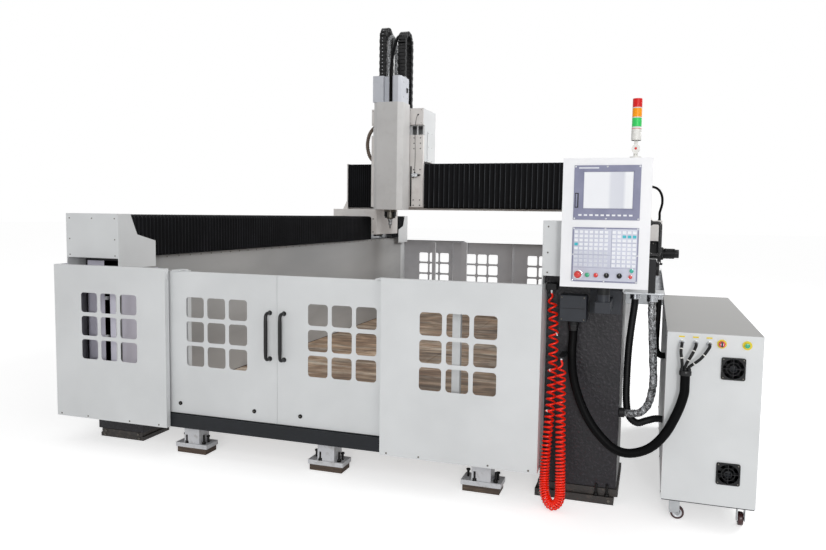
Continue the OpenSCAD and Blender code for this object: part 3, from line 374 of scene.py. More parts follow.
def coated(name, colour, roughness, shade, patch=420, peel=5.0, depth=0.25, metallic=0.0, coat=0.0,
           stretch=(1, 1, 1), gloss=0.08, grime_and_glint=None, grime_and_glint_size=90, grime_and_glint_share=0.35, specular=0.5):
    """A paint, plastic or metal surface.

    Its colour drifts to shade and its gloss varies over patch millimetres, its orange peel or grain stands
    peel millimetres apart, and spots of grime_and_glint_size millimetres take the grime colour: dirt on most
    finishes, and painted highlights on the hammered paint.
    """
    made, tree, shader, where = new_material(name)
    place = add(tree, "ShaderNodeMapping", {"Vector": where, "Scale": stretch}).outputs["Vector"]
    slow = add(tree, "ShaderNodeTexNoise", {"Vector": place, "Scale": per(patch),
                                            "Detail": 3.0}).outputs["Fac"]
    fast = add(tree, "ShaderNodeTexNoise", {"Vector": place, "Scale": per(peel),
                                            "Detail": 2.0}).outputs["Fac"]
    drift = add(tree, "ShaderNodeMapRange", {"Value": slow, "From Min": 0.3,
                                             "From Max": 0.7}).outputs["Result"]
    tint = add(tree, "ShaderNodeMix", {"Factor": drift, "A": linear(shade), "B": linear(colour)},
               data_type="RGBA").outputs["Result"]
    if grime_and_glint:
        spots = add(tree, "ShaderNodeTexNoise", {"Vector": place, "Scale": per(grime_and_glint_size), "Detail": 6.0,
                                                 "Roughness": 0.65}).outputs["Fac"]
        mask = add(tree, "ShaderNodeMapRange", {"Value": spots, "From Min": 0.52, "From Max": 0.7,
                                                "To Max": grime_and_glint_share}).outputs["Result"]
        tint = add(tree, "ShaderNodeMix", {"Factor": mask, "A": tint, "B": linear(grime_and_glint)},
                   data_type="RGBA").outputs["Result"]
    tree.links.new(tint, shader.inputs["Base Color"])
    rough = add(tree, "ShaderNodeMapRange", {"Value": slow, "From Min": 0.25, "From Max": 0.75,
                                             "To Min": roughness - gloss / 2,
                                             "To Max": roughness + gloss / 2})
    tree.links.new(rough.outputs["Result"], shader.inputs["Roughness"])
    # the peel stands a fifth of its spacing high
    bump = add(tree, "ShaderNodeBump", {"Height": fast, "Strength": depth, "Distance": peel / 5 / 1000})
    tree.links.new(bump.outputs["Normal"], shader.inputs["Normal"])
    shader.inputs["Metallic"].default_value = metallic
    if not metallic:
        shader.inputs["Specular IOR Level"].default_value = specular
    if coat:
        shader.inputs["Coat Weight"].default_value = coat
        shader.inputs["Coat Roughness"].default_value = 0.12
    return made


# polyester powder coat on folded sheet: semi-matt white with fine orange peel
WHITE = coated("powder_coat_white", "#dcdedf", 0.42, "#d2d4d5", peel=6, depth=0.22)
# the same coat on the inner return, drawn a little darker and violet as painted shade
RETURN_SHADE = coated("powder_coat_return_painted_shade", "#d3d1dd", 0.46, "#c9c7d4", peel=6)
# the inner faces of the rear doors and panels: the same white coat drawn grey, with darker patches, as
# painted shade
INNER_SHADE = coated("powder_coat_inner_painted_shade", "#b5b5b8", 0.5, "#a9a9ad", peel=7, grime_and_glint="#9b9b9f", grime_and_glint_size=200,
               grime_and_glint_share=0.4)
# brushed two-part machine enamel on the cast ram and head: fine roller stipple
ENAMEL = coated("machine_enamel_grey", "#d2d1d0", 0.4, "#c9c8c7", peel=4, depth=0.3, grime_and_glint="#b3b0ad",
                grime_and_glint_share=0.2)
# the head cover is sprayed a cooler grey
ENAMEL_COOL = coated("machine_enamel_cool", "#cdd0d7", 0.38, "#c1c4cc", peel=4, depth=0.25, grime_and_glint="#a3a6ad",
                     grime_and_glint_share=0.25)
# the same enamel on the carriage and saddles, warmer where hands have been
ENAMEL_WARM = coated("machine_enamel_warm", "#e6e3e0", 0.4, "#dad6d3", peel=4, depth=0.3, grime_and_glint="#b9aeab",
                     grime_and_glint_size=160, grime_and_glint_share=0.35)
# hammer-finish paint over a rough steel weldment: dark, mottled, dented, its paler speckles painted
# highlights on the dents
HAMMERED = coated("hammered_paint_dark", "#1f1d21", 0.36, "#19181c", patch=240, peel=16, depth=0.7,
                  grime_and_glint="#4e4a52", grime_and_glint_size=15, grime_and_glint_share=0.4, gloss=0.2, specular=0.3)
# smooth dark chassis paint on the sills and table frame
CHASSIS = coated("chassis_paint_dark", "#15181d", 0.5, "#101317", peel=7, grime_and_glint="#24272d", grime_and_glint_size=220,
                 grime_and_glint_share=0.3, specular=0.3)
# galvanised lining sheet: dull zinc with soft clouds and faint rolling lines
LINING = coated("galvanised_lining", "#bcbcbb", 0.42, "#979899", patch=800, peel=9, depth=0.12, metallic=0.15,
                stretch=(1, 0.25, 1), grime_and_glint="#8f8e8d", grime_and_glint_size=600, grime_and_glint_share=0.4, gloss=0.15)
# galvanised perforated tray
ZINC = coated("zinc_plated", "#b4b6b8", 0.34, "#9fa2a5", patch=60, peel=3, metallic=0.9, gloss=0.14)
# gloss enamel on the feet, scuffed near the floor
FOOT = coated("foot_enamel_white", "#cfd0d3", 0.38, "#c4c5c9", patch=150, peel=4, grime_and_glint="#8f8a83",
              grime_and_glint_size=45, grime_and_glint_share=0.5)
# laminated rubber and wood packing under the feet
PACKING = coated("packing_brown", "#4f4239", 0.8, "#3b3029", patch=50, peel=5, depth=0.6, stretch=(0.3, 1, 4),
                 grime_and_glint="#7c6a59", grime_and_glint_size=30, grime_and_glint_share=0.6)
# oily steel plates stacked under the walls
PLATES = coated("oily_plate", "#2b2623", 0.5, "#1f1b19", patch=70, peel=9, depth=0.6, grime_and_glint="#584f47",
                grime_and_glint_size=40, grime_and_glint_share=0.6, gloss=0.2)
# moulded glass-filled nylon: glossy black with a soft highlight
NYLON = coated("moulded_nylon_black", "#0c0c0e", 0.3, "#08080a", patch=60, peel=2.5, depth=0.12, coat=0.1,
               specular=0.3)
# textured black ABS
ABS = coated("moulded_abs_black", "#101113", 0.5, "#0b0c0e", patch=60, peel=2, depth=0.3, specular=0.25)
# die-cast black aluminium motor shells
MOTOR = coated("cast_shell_black", "#0b0b0d", 0.45, "#070709", patch=70, peel=3, depth=0.35, specular=0.25)
# blackened socket-head screws
BLACKED = coated("black_oxide_steel", "#1d1c1c", 0.36, "#131212", patch=12, peel=2, metallic=0.7)
# dark blue-grey paint of the junction box
JUNCTION = coated("junction_paint", "#22262d", 0.45, "#1c1f26", patch=60, peel=4, depth=0.3, specular=0.35)
# ground and polished tool steel
POLISHED = coated("polished_steel", "#c9cbce", 0.16, "#b9bcc0", patch=18, peel=2, depth=0.06, metallic=1.0,
                  gloss=0.1)
# turned steel with light machining marks
TURNED = coated("turned_steel", "#a7a9ab", 0.3, "#939598", patch=20, peel=1.5, depth=0.2, metallic=1.0,
                stretch=(1, 1, 6))
# zinc-plated screw heads
SCREW = coated("screw_zinc", "#77736c", 0.35, "#5e5b55", patch=9, peel=2, metallic=0.8)
# extruded polyurethane coil hose: clear glossy red
POLYURETHANE = coated("polyurethane_red", "#ff2a05", 0.26, "#f41c00", patch=40, peel=12, depth=0.03,
                      coat=0.15, specular=0.3)
# smooth PVC sleeve of the thick hoses
SLEEVE = coated("pvc_sleeve_black", "#060607", 0.42, "#040405", patch=90, peel=14, depth=0.3, specular=0.06)
# matt rubber jacket of the thin cables
JACKET = coated("rubber_jacket", "#0c0c0e", 0.5, "#070708", patch=20, peel=2, specular=0.25)
# ribbed nylon conduit, dusted brown
CONDUIT = coated("nylon_conduit_dusty", "#6d5d50", 0.6, "#463a31", patch=16, peel=4, depth=0.4,
                 grime_and_glint="#a39482", grime_and_glint_size=14, grime_and_glint_share=0.7)
# pendant enamel, nearly white
PENDANT = coated("pendant_enamel_white", "#f2f2f4", 0.36, "#eaebee", patch=260, peel=3, depth=0.12)
# satin anodised and printed bezel sheet
BEZEL = coated("bezel_anodised_blue_grey", "#84869f", 0.42, "#777993", patch=70, peel=1.5, depth=0.2)
# light membrane field that carries the keys
FIELD = coated("key_field_membrane", "#cdcfdd", 0.4, "#c3c6d5", patch=60, peel=2, depth=0.15)
# moulded key caps
KEYCAP = coated("keycap_white", "#f1f2f6", 0.4, "#e7e9ef", patch=14, peel=2, depth=0.1)
KEYCAP_GREY = coated("keycap_grey", "#d8dae3", 0.4, "#cccfd9", patch=14, peel=2, depth=0.1)
KEYCAP_CYAN = coated("keycap_cyan", "#35bccb", 0.36, "#2aaebd", patch=14, peel=2, depth=0.1)
# translucent moulded push buttons
BUTTON_RED = coated("button_red", "#dc2f2a", 0.24, "#cf2622", patch=18, peel=3, depth=0.05, coat=0.5)
BUTTON_GREEN = coated("button_green", "#2bb07f", 0.24, "#22a172", patch=18, peel=3, depth=0.05, coat=0.5)
LIGHT_TEAL = coated("indicator_teal", "#17b6a2", 0.2, "#0fa391", patch=10, peel=3, depth=0.05, coat=0.6)
# yellow anodised legend rings and blank plates
YELLOW = coated("ring_yellow", "#ead31c", 0.38, "#dcc514", patch=16, peel=2, depth=0.1)
# polyurethane caster tread
TREAD = coated("caster_tread_maroon", "#3c1517", 0.36, "#2c0e10", patch=14, peel=3, depth=0.2, coat=0.2)
# nylon cable ties and lamp body
NATURAL = coated("nylon_natural", "#e9e8e4", 0.35, "#deddd8", patch=14, peel=2, depth=0.08)
# satin steel sheet on the cabinet's top: painted shade makes it darker than the sides, and its grey clouds
# paint a dull shine
SATIN_TOP_SHADED = coated("satin_sheet_top_painted_shade", "#9c9b99", 0.36, "#878683", patch=700, peel=4, depth=0.1, metallic=0.2,
               gloss=0.12)


def bellows_cloth(name, colour, worn):
    """Polyurethane-coated polyester: black and slightly shiny, dusty where it wears.

    Its weave is drawn 3 mm wide, coarser than the real 1 mm, so that it shows.
    """
    made, tree, shader, where = new_material(name)
    warp, weft = (add(tree, "ShaderNodeTexWave", {"Vector": where, "Scale": per(3) / 2, "Distortion": 0.6},
                      bands_direction=way).outputs["Fac"] for way in "ZX")
    height = add(tree, "ShaderNodeMath", {0: warp, 1: weft}, operation="MULTIPLY")
    dust = add(tree, "ShaderNodeTexNoise", {"Vector": where, "Scale": per(260), "Detail": 5.0})
    share = add(tree, "ShaderNodeMapRange", {"Value": dust.outputs["Fac"], "From Min": 0.4, "From Max": 0.75})
    tone = add(tree, "ShaderNodeMix", {"Factor": share.outputs["Result"], "A": linear(colour),
                                       "B": linear(worn)}, data_type="RGBA")
    tree.links.new(tone.outputs["Result"], shader.inputs["Base Color"])
    bump = add(tree, "ShaderNodeBump", {"Height": height.outputs[0], "Strength": 0.25, "Distance": 0.0006})
    tree.links.new(bump.outputs["Normal"], shader.inputs["Normal"])
    shader.inputs["Roughness"].default_value = 0.55
    shader.inputs["Specular IOR Level"].default_value = 0.08
    return made


CLOTH = bellows_cloth("bellows_cloth_black", "#08080a", "#0e0e11")
# welded edge of each fold, drawn lighter as a painted highlight
FOLD_HIGHLIGHT = bellows_cloth("bellows_fold_painted_highlight", "#2b2d30", "#3d4044")
# the same edge on the beam cover, drawn grey as a painted highlight
FOLD_HIGHLIGHT_GREY = bellows_cloth("bellows_fold_painted_highlight_grey", "#4a4d51", "#26282b")


def sawn_boards():
    """Rough sawn softwood: wavy grain with pale and dark streaks across the machine, and dusty patches."""
    made, tree, shader, where = new_material("sawn_softwood")
    grain = add(tree, "ShaderNodeMapping", {"Vector": where, "Scale": (0.16, 1.0, 1.0)})
    lines = add(tree, "ShaderNodeTexNoise", {"Vector": grain.outputs["Vector"], "Scale": per(170),
                                             "Detail": 5.0, "Roughness": 0.55, "Distortion": 1.0})
    clouds = add(tree, "ShaderNodeTexNoise", {"Vector": where, "Scale": per(300), "Detail": 5.0,
                                              "Roughness": 0.7})
    ramp = add(tree, "ShaderNodeValToRGB", {"Fac": lines.outputs["Fac"]})
    ramp.color_ramp.elements[0].position = 0.3
    ramp.color_ramp.elements[0].color = linear("#5c4e44")
    ramp.color_ramp.elements[1].position = 0.68
    ramp.color_ramp.elements[1].color = linear("#d8cdbd")
    ramp.color_ramp.elements.new(0.48).color = linear("#ab9076")
    share = add(tree, "ShaderNodeMapRange", {"Value": clouds.outputs["Fac"], "From Min": 0.42,
                                             "From Max": 0.66, "To Max": 0.75})
    tone = add(tree, "ShaderNodeMix", {"Factor": share.outputs["Result"], "A": ramp.outputs["Color"],
                                       "B": linear("#80624c")}, data_type="RGBA")
    worn = add(tree, "ShaderNodeMapping", {"Vector": where, "Scale": (0.4, 1.0, 1.0)})
    patches = add(tree, "ShaderNodeTexNoise", {"Vector": worn.outputs["Vector"], "Scale": per(210),
                                               "Detail": 3.0, "Roughness": 0.6, "Distortion": 0.8})
    level = add(tree, "ShaderNodeMapRange", {"Value": patches.outputs["Fac"], "From Min": 0.36,
                                             "From Max": 0.64, "To Min": 0.55, "To Max": 1.5})
    shaded = add(tree, "ShaderNodeMix", {"Factor": 1.0, "A": tone.outputs["Result"],
                                         "B": level.outputs["Result"]}, data_type="RGBA",
                 blend_type="MULTIPLY")
    tree.links.new(shaded.outputs["Result"], shader.inputs["Base Color"])
    bump = add(tree, "ShaderNodeBump", {"Height": lines.outputs["Fac"], "Strength": 0.4, "Distance": 0.002})
    tree.links.new(bump.outputs["Normal"], shader.inputs["Normal"])
    shader.inputs["Roughness"].default_value = 0.62
    return made


BOARD = sawn_boards()


def film_wrap():
    """Polythene film wound round a hose: crinkled near-black with painted silver-grey glints and glossy ones,
    its creases 13 mm apart.
    """
    made, tree, shader, where = new_material("polythene_wrap_painted_glints")
    cells = add(tree, "ShaderNodeTexVoronoi", {"Vector": where, "Scale": per(13)}, feature="DISTANCE_TO_EDGE")
    fine = add(tree, "ShaderNodeTexNoise", {"Vector": where, "Scale": per(16), "Detail": 5.0,
                                            "Roughness": 0.75})
    ramp = add(tree, "ShaderNodeValToRGB", {"Fac": fine.outputs["Fac"]})
    ramp.color_ramp.elements[0].position = 0.44
    ramp.color_ramp.elements[0].color = linear("#1b1c1e")
    ramp.color_ramp.elements[1].position = 0.6
    ramp.color_ramp.elements[1].color = linear("#b4b7bb")
    tree.links.new(ramp.outputs["Color"], shader.inputs["Base Color"])
    bump = add(tree, "ShaderNodeBump", {"Height": cells.outputs["Distance"], "Strength": 0.9,
                                        "Distance": 0.006})
    tree.links.new(bump.outputs["Normal"], shader.inputs["Normal"])
    shader.inputs["Roughness"].default_value = 0.2
    shader.inputs["Coat Weight"].default_value = 0.7
    shader.inputs["Coat Roughness"].default_value = 0.08
    return made


FILM_GLINTS = film_wrap()


def lens(name, colour, shade):
    """Fluted polycarbonate beacon lens: saturated and glossy, a little lit from within."""
    made, tree, shader, where = new_material(name)
    slow = add(tree, "ShaderNodeTexNoise", {"Vector": where, "Scale": per(30)})
    tone = add(tree, "ShaderNodeMix", {"Factor": slow.outputs["Fac"], "A": linear(shade),
                                       "B": linear(colour)}, data_type="RGBA")
    tree.links.new(tone.outputs["Result"], shader.inputs["Base Color"])
    shader.inputs["Roughness"].default_value = 0.28
    shader.inputs["Specular IOR Level"].default_value = 0.3
    shader.inputs["Emission Color"].default_value = linear(colour)
    shader.inputs["Emission Strength"].default_value = 0.06
    return made


LENS_RED = lens("lens_red", "#e01616", "#c81010")
LENS_AMBER = lens("lens_amber", "#ffa400", "#f08f00")
LENS_GREEN = lens("lens_green", "#3fd46b", "#2cc058")


def screen_glass():
    """Liquid-crystal screen under glass: pale, with soft upright bands from its left edge to its right."""
    made, tree, shader, where = new_material("screen_glass")
    split = add(tree, "ShaderNodeSeparateXYZ", {"Vector": where})
    width = add(tree, "ShaderNodeMapRange", {"Value": split.outputs["X"], "From Min": at(1744, 0, 0)[0],
                                             "From Max": at(1996, 0, 0)[0]})
    ramp = add(tree, "ShaderNodeValToRGB", {"Fac": width.outputs["Result"]})
    stops = ((0.0, "#f6f7fa"), (0.5, "#f3f4f8"), (0.56, "#dcdee6"), (0.8, "#d8dae3"), (0.86, "#f5f6f9"),
             (1.0, "#f9fafc"))
    elements = ramp.color_ramp.elements
    while len(elements) < len(stops):
        elements.new(0.5)
    for e, (p, c) in zip(elements, stops):
        e.position = p
        e.color = linear(c)
    drift = add(tree, "ShaderNodeTexNoise", {"Vector": where, "Scale": per(120), "Detail": 1.0})
    share = add(tree, "ShaderNodeMapRange", {"Value": drift.outputs["Fac"], "To Max": 0.25})
    tone = add(tree, "ShaderNodeMix", {"Factor": share.outputs["Result"], "A": ramp.outputs["Color"],
                                       "B": linear("#dcdfe8")}, data_type="RGBA")
    tree.links.new(tone.outputs["Result"], shader.inputs["Base Color"])
    shader.inputs["Roughness"].default_value = 0.12
    shader.inputs["Coat Weight"].default_value = 0.5
    return made


SCREEN = screen_glass()

# ---------- hoses and cables ----------

# the routes, in millimetres from the machine's centre line, its front panels and the floor
COIL = [
    (1556, 150, 1262), (1556, 150, 1205), (1570, 138, 1110), (1576, 130, 980), (1578, 120, 770),
    (1572, 105, 560), (1560, 85, 350), (1556, 60, 170), (1570, 20, 75), (1612, -12, 34),
    (1654, -20, 75), (1656, -10, 185), (1648, 20, 380), (1640, 45, 575), (1634, 62, 760), (1634, 62, 880),
]
MAIN = [
    (1685, 155, 1064), (1685, 155, 1000), (1684, 132, 890), (1700, 84, 775), (1745, 40, 650),
    (1800, 12, 550), (1862, -4, 474), (1942, -20, 410), (2028, -30, 396), (2128, -30, 435),
    (2206, -30, 522), (2263, -30, 643), (2293, -30, 745), (2296, -30, 800), (2296, -30, 855),
]
CABLE_A = [(2278, -30, 881), (2278, -30, 915), (2270, -26, 980), (2274, -8, 1014), (2274, 8, 1020),
           (2274, 20, 1020)]
CABLE_B = [(2296, -30, 881), (2296, -30, 908), (2326, -32, 970), (2344, -14, 1012), (2345, 8, 1020),
           (2345, 20, 1020)]
CABLE_C = [(2314, -30, 881), (2314, -30, 900), (2368, -40, 950), (2408, -22, 1006), (2413, 4, 1020),
           (2413, 20, 1020)]
WRAP = [
    (2114, 250, 1249), (2114, 250, 1180), (2119, 250, 1070), (2132, 250, 880), (2138, 246, 735),
    (2118, 242, 620), (2076, 240, 562), (2030, 240, 550), (1986, 240, 550),
]
FEED = [(2017, 360, 1249), (2017, 360, 1180), (2003, 360, 1040), (1992, 360, 900), (1988, 360, 740),
        (1990, 360, 600), (2008, 360, 505), (2056, 360, 464), (2108, 360, 482), (2160, 360, 500),
        (2199.7, 360, 500)]
LOOP = [
    (2150, 400, 1249), (2150, 400, 1160), (2147, 400, 1040), (2146, 400, 950), (2152, 400, 900),
    (2172, 400, 876), (2199.7, 400, 876),
]


def lay_cord(name, node, line, radius, finish, sides=16,
             radii=None):
    """A hose or cable as a tube along line, riding on the body of its CAD node.

    radii may give its radius at each point of the line, where its surface is ribbed or crinkled.
    """
    obj = sweep(line, radii or radius, finish, sides)
    stand_for(obj, node, name=name)


def ribbed(line, radius, pitch, depth):
    """A line resampled at a quarter of the rib pitch, and the radius at each of its points."""
    total, points, radii = 0.0, [], []
    for a, b in zip(line, line[1:]):
        n = max(1, round((b - a).length / (pitch / 4)))
        for k in range(n):
            p = a.lerp(b, k / n)
            total += (b - a).length / n
            points.append(p)
            radii.append(radius - depth * (0.5 + 0.5 * math.cos(2 * math.pi * total / pitch)))
    return points + [line[-1]], radii + [radius]


COIL_RADIUS, TIGHTEST = 23.9, 23.8
# close turns at the bottom, and the widest that the hose's weight opens on its two hanging sides
CLOSE_PITCH, WIDE_PITCH, WIDE_PITCH_BACK = 14, 52.0, 40.0
# the height above which the turns open, and how much wider each is for a millimetre of height
OPEN_FROM, OPENING = 150, 0.05
# the straight lengths before the first turn and after the last, and the run in which a turn grows
LEAD_IN, LEAD_OUT, TAPER = 22, 18, 60


def coil_line():
    """The air hose's middle line: a helix round the route, with a straight lead at each end."""
    core = along(COIL, 24)
    across = frames(core)
    dist = [0.0]
    for a, b in zip(core, core[1:]):
        dist.append(dist[-1] + (b - a).length)
    full = dist[-1]
    line, s, angle, i = [], 0.0, 0.0, 0
    while s < full:
        while dist[i + 1] < s and i < len(dist) - 2:
            i += 1
        p = core[i].lerp(core[i + 1], (s - dist[i]) / (dist[i + 1] - dist[i]))
        _, u, v = across[i]
        widest = WIDE_PITCH if s < full / 2 else WIDE_PITCH_BACK
        pitch = min(CLOSE_PITCH + max(0.0, p.z - OPEN_FROM) * OPENING, widest)
        r = COIL_RADIUS * min(1.0, max(0.0, s - LEAD_IN) / TAPER, max(0.0, full - s - LEAD_OUT) / TAPER)
        # a narrow turn is drawn out, so that the hose bends nowhere tighter than TIGHTEST
        pitch = max(pitch, 2 * math.pi * math.sqrt(max(0.0, TIGHTEST * r - r * r)))
        line.append(p + r * (math.cos(angle) * u + math.sin(angle) * v))
        # fourteen points on each turn, and five on the same length where the hose runs straight
        step = 2 * math.pi / 14 if r > 1 else 2 * math.pi / 5
        angle += step
        s += pitch * step / (2 * math.pi)
    return line + [core[-1]]


def on_frame(obj, name):
    """Names a small piece and rides it on the fixed frame."""
    obj.name = name
    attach(obj, "frame")
    return obj


main_line = along(MAIN, 4)
relief = turned([(0, 0), (25.4, 0), (28, 2), (30, 24), (31.5, 26), (31.5, 34), (0, 34)],
                at(1685, 155, 1030), UP, NYLON)
on_frame(relief, "main_hose_relief")
split_parts = [turned([(0, 0), (30, 0), (31.6, 2), (31.6, 20), (29, 25.6), (0, 25.6)], at(2296, -30, 855.2),
                      UP, NYLON, 40)]
for x in (2278, 2296, 2314):
    split_parts.append(turned([(0, 0), (10.5, 0), (10, 9), (9, 12), (0, 12)], at(x, -30, 880.4), UP, ABS, 20))
split_body = stand_for(join("hose_splitter", split_parts), "splitter")
lay_cord("main_power_hose", "main_hose", main_line, 25.0, SLEEVE,
         sides=24)


def tie_band(line, i, r, name):
    """A white cable tie round a cable of radius r at the i-th point of its line, its head standing off."""
    way, u, _ = frames(line)[i]
    band = turned([(r - 0.4, -2.6), (r + 1.5, -2.6), (r + 1.8, -1.5), (r + 1.8, 1.5), (r + 1.5, 2.6),
                   (r - 0.4, 2.6), (r - 0.4, -2.6)], at(*line[i]), way, NATURAL, 20)
    x, y, z = line[i] + (r + 4) * u
    tie_head = slab((x - 3.4, x + 3.4), (y - 4, y + 4), (z - 3.4, z + 3.4), NATURAL, 1.2)
    return on_frame(join(name, [band, tie_head]), name)


coil_points = coil_line()
for k, z in enumerate((1010, 800, 560)):
    i = next(i for i, p in enumerate(coil_points) if p.z < z)
    tie_band(coil_points, i, 6, "tie_coil" + str(k))
lay_cord("coil_air_hose", "coil_hose", coil_points, 6.0, POLYURETHANE,
         sides=8)


def drive_cable(letter, route):
    """One of the three cables from the splitter to the cabinet, with its two ties."""
    line = along(route, 6)
    ties = [tie_band(line, i, 8, "tie_" + letter + str(k)) for k, i in enumerate((9, 14))]
    lay_cord("drive_cable_" + letter, "cable_" + letter, line, 8.0, JACKET,
             sides=14)


for letter, route in (("a", CABLE_A), ("b", CABLE_B), ("c", CABLE_C)):
    drive_cable(letter, route)

wrap_line = along(WRAP, 12)
# the film's creases stand up to 3.6 mm proud of the hose
wrap_radii = [20 + 3.6 * chance.random() for _ in wrap_line]
wrap_radii[0] = wrap_radii[-1] = 22
lay_cord("wrapped_signal_hose", "wrapped_hose", wrap_line, 22.5, FILM_GLINTS, sides=20,
         radii=wrap_radii)
feed_line, feed_radii = ribbed(along(FEED, 6), 22.0, 11, 2.2)
lay_cord("corrugated_feed_hose", "feed_hose", feed_line, 22.0, ABS, sides=16, radii=feed_radii)
lay_cord("side_loop_hose", "loop_hose", along(LOOP, 6), 18.0, SLEEVE, sides=20)

# the thin sensor cable that hangs from the hood's front to the air valve on the carriage
SENSOR = [
    (-893, 5079, 3003), (-896, 5068, 2999), (-905, 5062, 2975), (-921, 5062, 2900), (-928, 5062, 2800),
    (-926, 5063, 2680), (-922, 5064, 2560), (-922, 5064, 2440), (-925, 5063, 2330), (-926, 5062, 2250),
]
sensor_line = along(SENSOR, 4)
sensor = sweep(sensor_line, 3.0, JACKET, 10)
sensor.name = "sensor_cable"
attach(sensor, "carriage")

# ---------- side walls, table and enclosure ----------

WALL_TOP, WALL_MIDDLE = 1345, 1730


def wall_finish(x, y, z, n):
    """Turned steel on the rails that lie on the walls, and hammered paint below them."""
    return 1 if z > WALL_TOP + 0.15 else 0


wall_parts = [shape_of("walls", 4, [HAMMERED, TURNED], wall_finish)]
# folded sheet that closes the outer half of each open wall end, with two clip blocks; the sheet is in the
# violet copy of the coat, painted shade
for x, y in ((-1, 222), (-1, 6374), (1, 6374)):
    wall_parts.append(slab((x * 1869, x * 1719), (y, y + 4), (181, 1319), RETURN_SHADE, 1.2))
    wall_parts += [slab((x * 1719, x * 1694), (y, y + 18), (z, z + 26), WHITE, 2) for z in (742, 1030)]
stand_for(join("side_walls", wall_parts), "walls")

linings = [shape_of("wall_sheets", 1.2, [LINING, ZINC], lambda x, y, z, n: 1 if x > 1886 else 0)]
# coated sheet over the front end of the left lining, below the panel's top, in the violet copy of the white
# coat, painted shade
linings.append(slab((-1571.5, -1568.5), (226, 640), (300, 1250), RETURN_SHADE, 1))
linings += pan_heads([(-1571.5, y, 1328) for y in range(300, 6380, 152)], RIGHT, 6)
linings += pan_heads([(1571.5, y, 1328) for y in range(780, 6380, 152)], LEFT, 6)
stand_for(join("wall_linings_and_tray", linings), "wall_sheets")


FRONT_FEET, REAR_FEET = (-905, 125, 1165), (840, -190, -1230)


def foot_finish(x, y, z, n):
    """Packing below each foot, enamel on it, black bolts beside it, and oily plates everywhere else."""
    if abs(y - 180) < 72 or abs(y - 6420) < 72:
        near = min(abs(x - middle) for middle in (FRONT_FEET if y < 3000 else REAR_FEET))
        if near < 126:
            if z < 39.85:
                return 1
            return 2 if near > 75 and z > 70.15 else 0
    return 3


def jack_bolt(x, y, z, tall):
    """A black levelling bolt: washer, nut and a length of stud."""
    return turned([(0, 0), (15, 0), (15, 3), (12.5, 3.2), (13.4, 4.6), (13.4, 14), (12.5, 15.4), (7.4, 15.4),
                   (7.4, tall - 2), (5.6, tall), (0, tall)], at(x, y, z), UP, BLACKED, 12)


feet = [shape_of("floor_feet", 2.5, [FOOT, PACKING, BLACKED, PLATES], foot_finish)]
for x in FRONT_FEET:
    feet += [jack_bolt(x - 40, 122, 70, 58), jack_bolt(x + 88, 136, 70, 64)]
for x in REAR_FEET:
    feet += [jack_bolt(x + 40, 6478, 70, 58), jack_bolt(x - 88, 6464, 70, 64)]
feet += [jack_bolt(x, 205.6, 44.7, 72) for x in (1842, 1905)]
feet += cap_heads([(x, 220, z) for x, z in ((-1432, 15), (-1738, 15), (-1440, 45), (-1730, 45))], FRONT,
                  SCREW)
feet += cap_heads([(x, 195, 22) for x in (1510, 1916)], FRONT, SCREW)
stand_for(join("levelling_feet", feet), "floor_feet")

box_screws = [(s * WALL_MIDDLE + x, z) for s in (-1, 1) for z in (1630, 1480, 1365) for x in (-200, 0, 200)
              if x or z == 1630]
end_boxes = [shape_of("rail_end_boxes", 3, [WHITE])]
end_boxes += pan_heads([(x, 119.7, z) for x, z in box_screws], FRONT, 5)
end_boxes += pan_heads([(x, 6480.3, z) for x, z in box_screws], BACK, 5)
stand_for(join("rail_end_covers", end_boxes), "rail_end_boxes")

stand_for(shape_of("table_frame", 5, [CHASSIS]), "table_frame", name="table_grid")
stand_for(shape_of("boards", 2.5, [BOARD]), "boards", name="work_boards")


def panel_finish(x, y, z, n):
    """Painted shade: a grey copy of the coat inside the rear panels, and a violet copy on the front left
    panel's returns.
    """
    if y > 6400 and n.y < -0.5:
        return 2
    returned = x < -1955 and n.x > 0.5 or -1600 < x < -1540
    return 1 if returned and 45 < y < 3000 else 0


panels = [shape_of("fixed_panels", 2.2, [WHITE, RETURN_SHADE, INNER_SHADE], panel_finish)]
panels += pan_heads([(x, -0.3, 216) for x in (-1925, -1690, -1330, -1085, 590, 800, 1230, 1470)], FRONT, 6)
panels += pan_heads([(x, 6597.2, 216) for x in (1860, 1620, 1240, 1000, -1545, -1320, -880, -660)], BACK, 6)
stand_for(join("fixed_enclosure_panels", panels), "fixed_panels")
sills = shape_of("door_sills", 3, [CHASSIS, TURNED], lambda x, y, z, n: 1 if z > 290.2 else 0)
stand_for(sills, "door_sills", name="roller_sills")


def bow_path(foot, reach, top, low, bend, turns, runs):
    """A bow handle's middle line as pairs of distance out and height: out, round, down, round and back."""
    quarter = [math.pi / 2 * k / turns for k in range(turns + 1)]
    corner = [(reach - bend * (1 - math.sin(a)), bend * (1 - math.cos(a))) for a in quarter]
    straight = [(reach, top - bend - (top - low - 2 * bend) * k / runs) for k in range(1, runs)]
    upper = [(out, top - drop) for out, drop in corner]
    lower = [(out, low + rise) for out, rise in reversed(corner)]
    return [(foot, top)] + upper + straight + lower + [(foot, low)]


# each door's bow handle stands 58 mm out, and is 304 mm long between the middles of its feet
HANDLE_MIDDLE, HANDLE_HALF = 882, 152
DOOR_FACES = {-1: 70, 1: 6530}


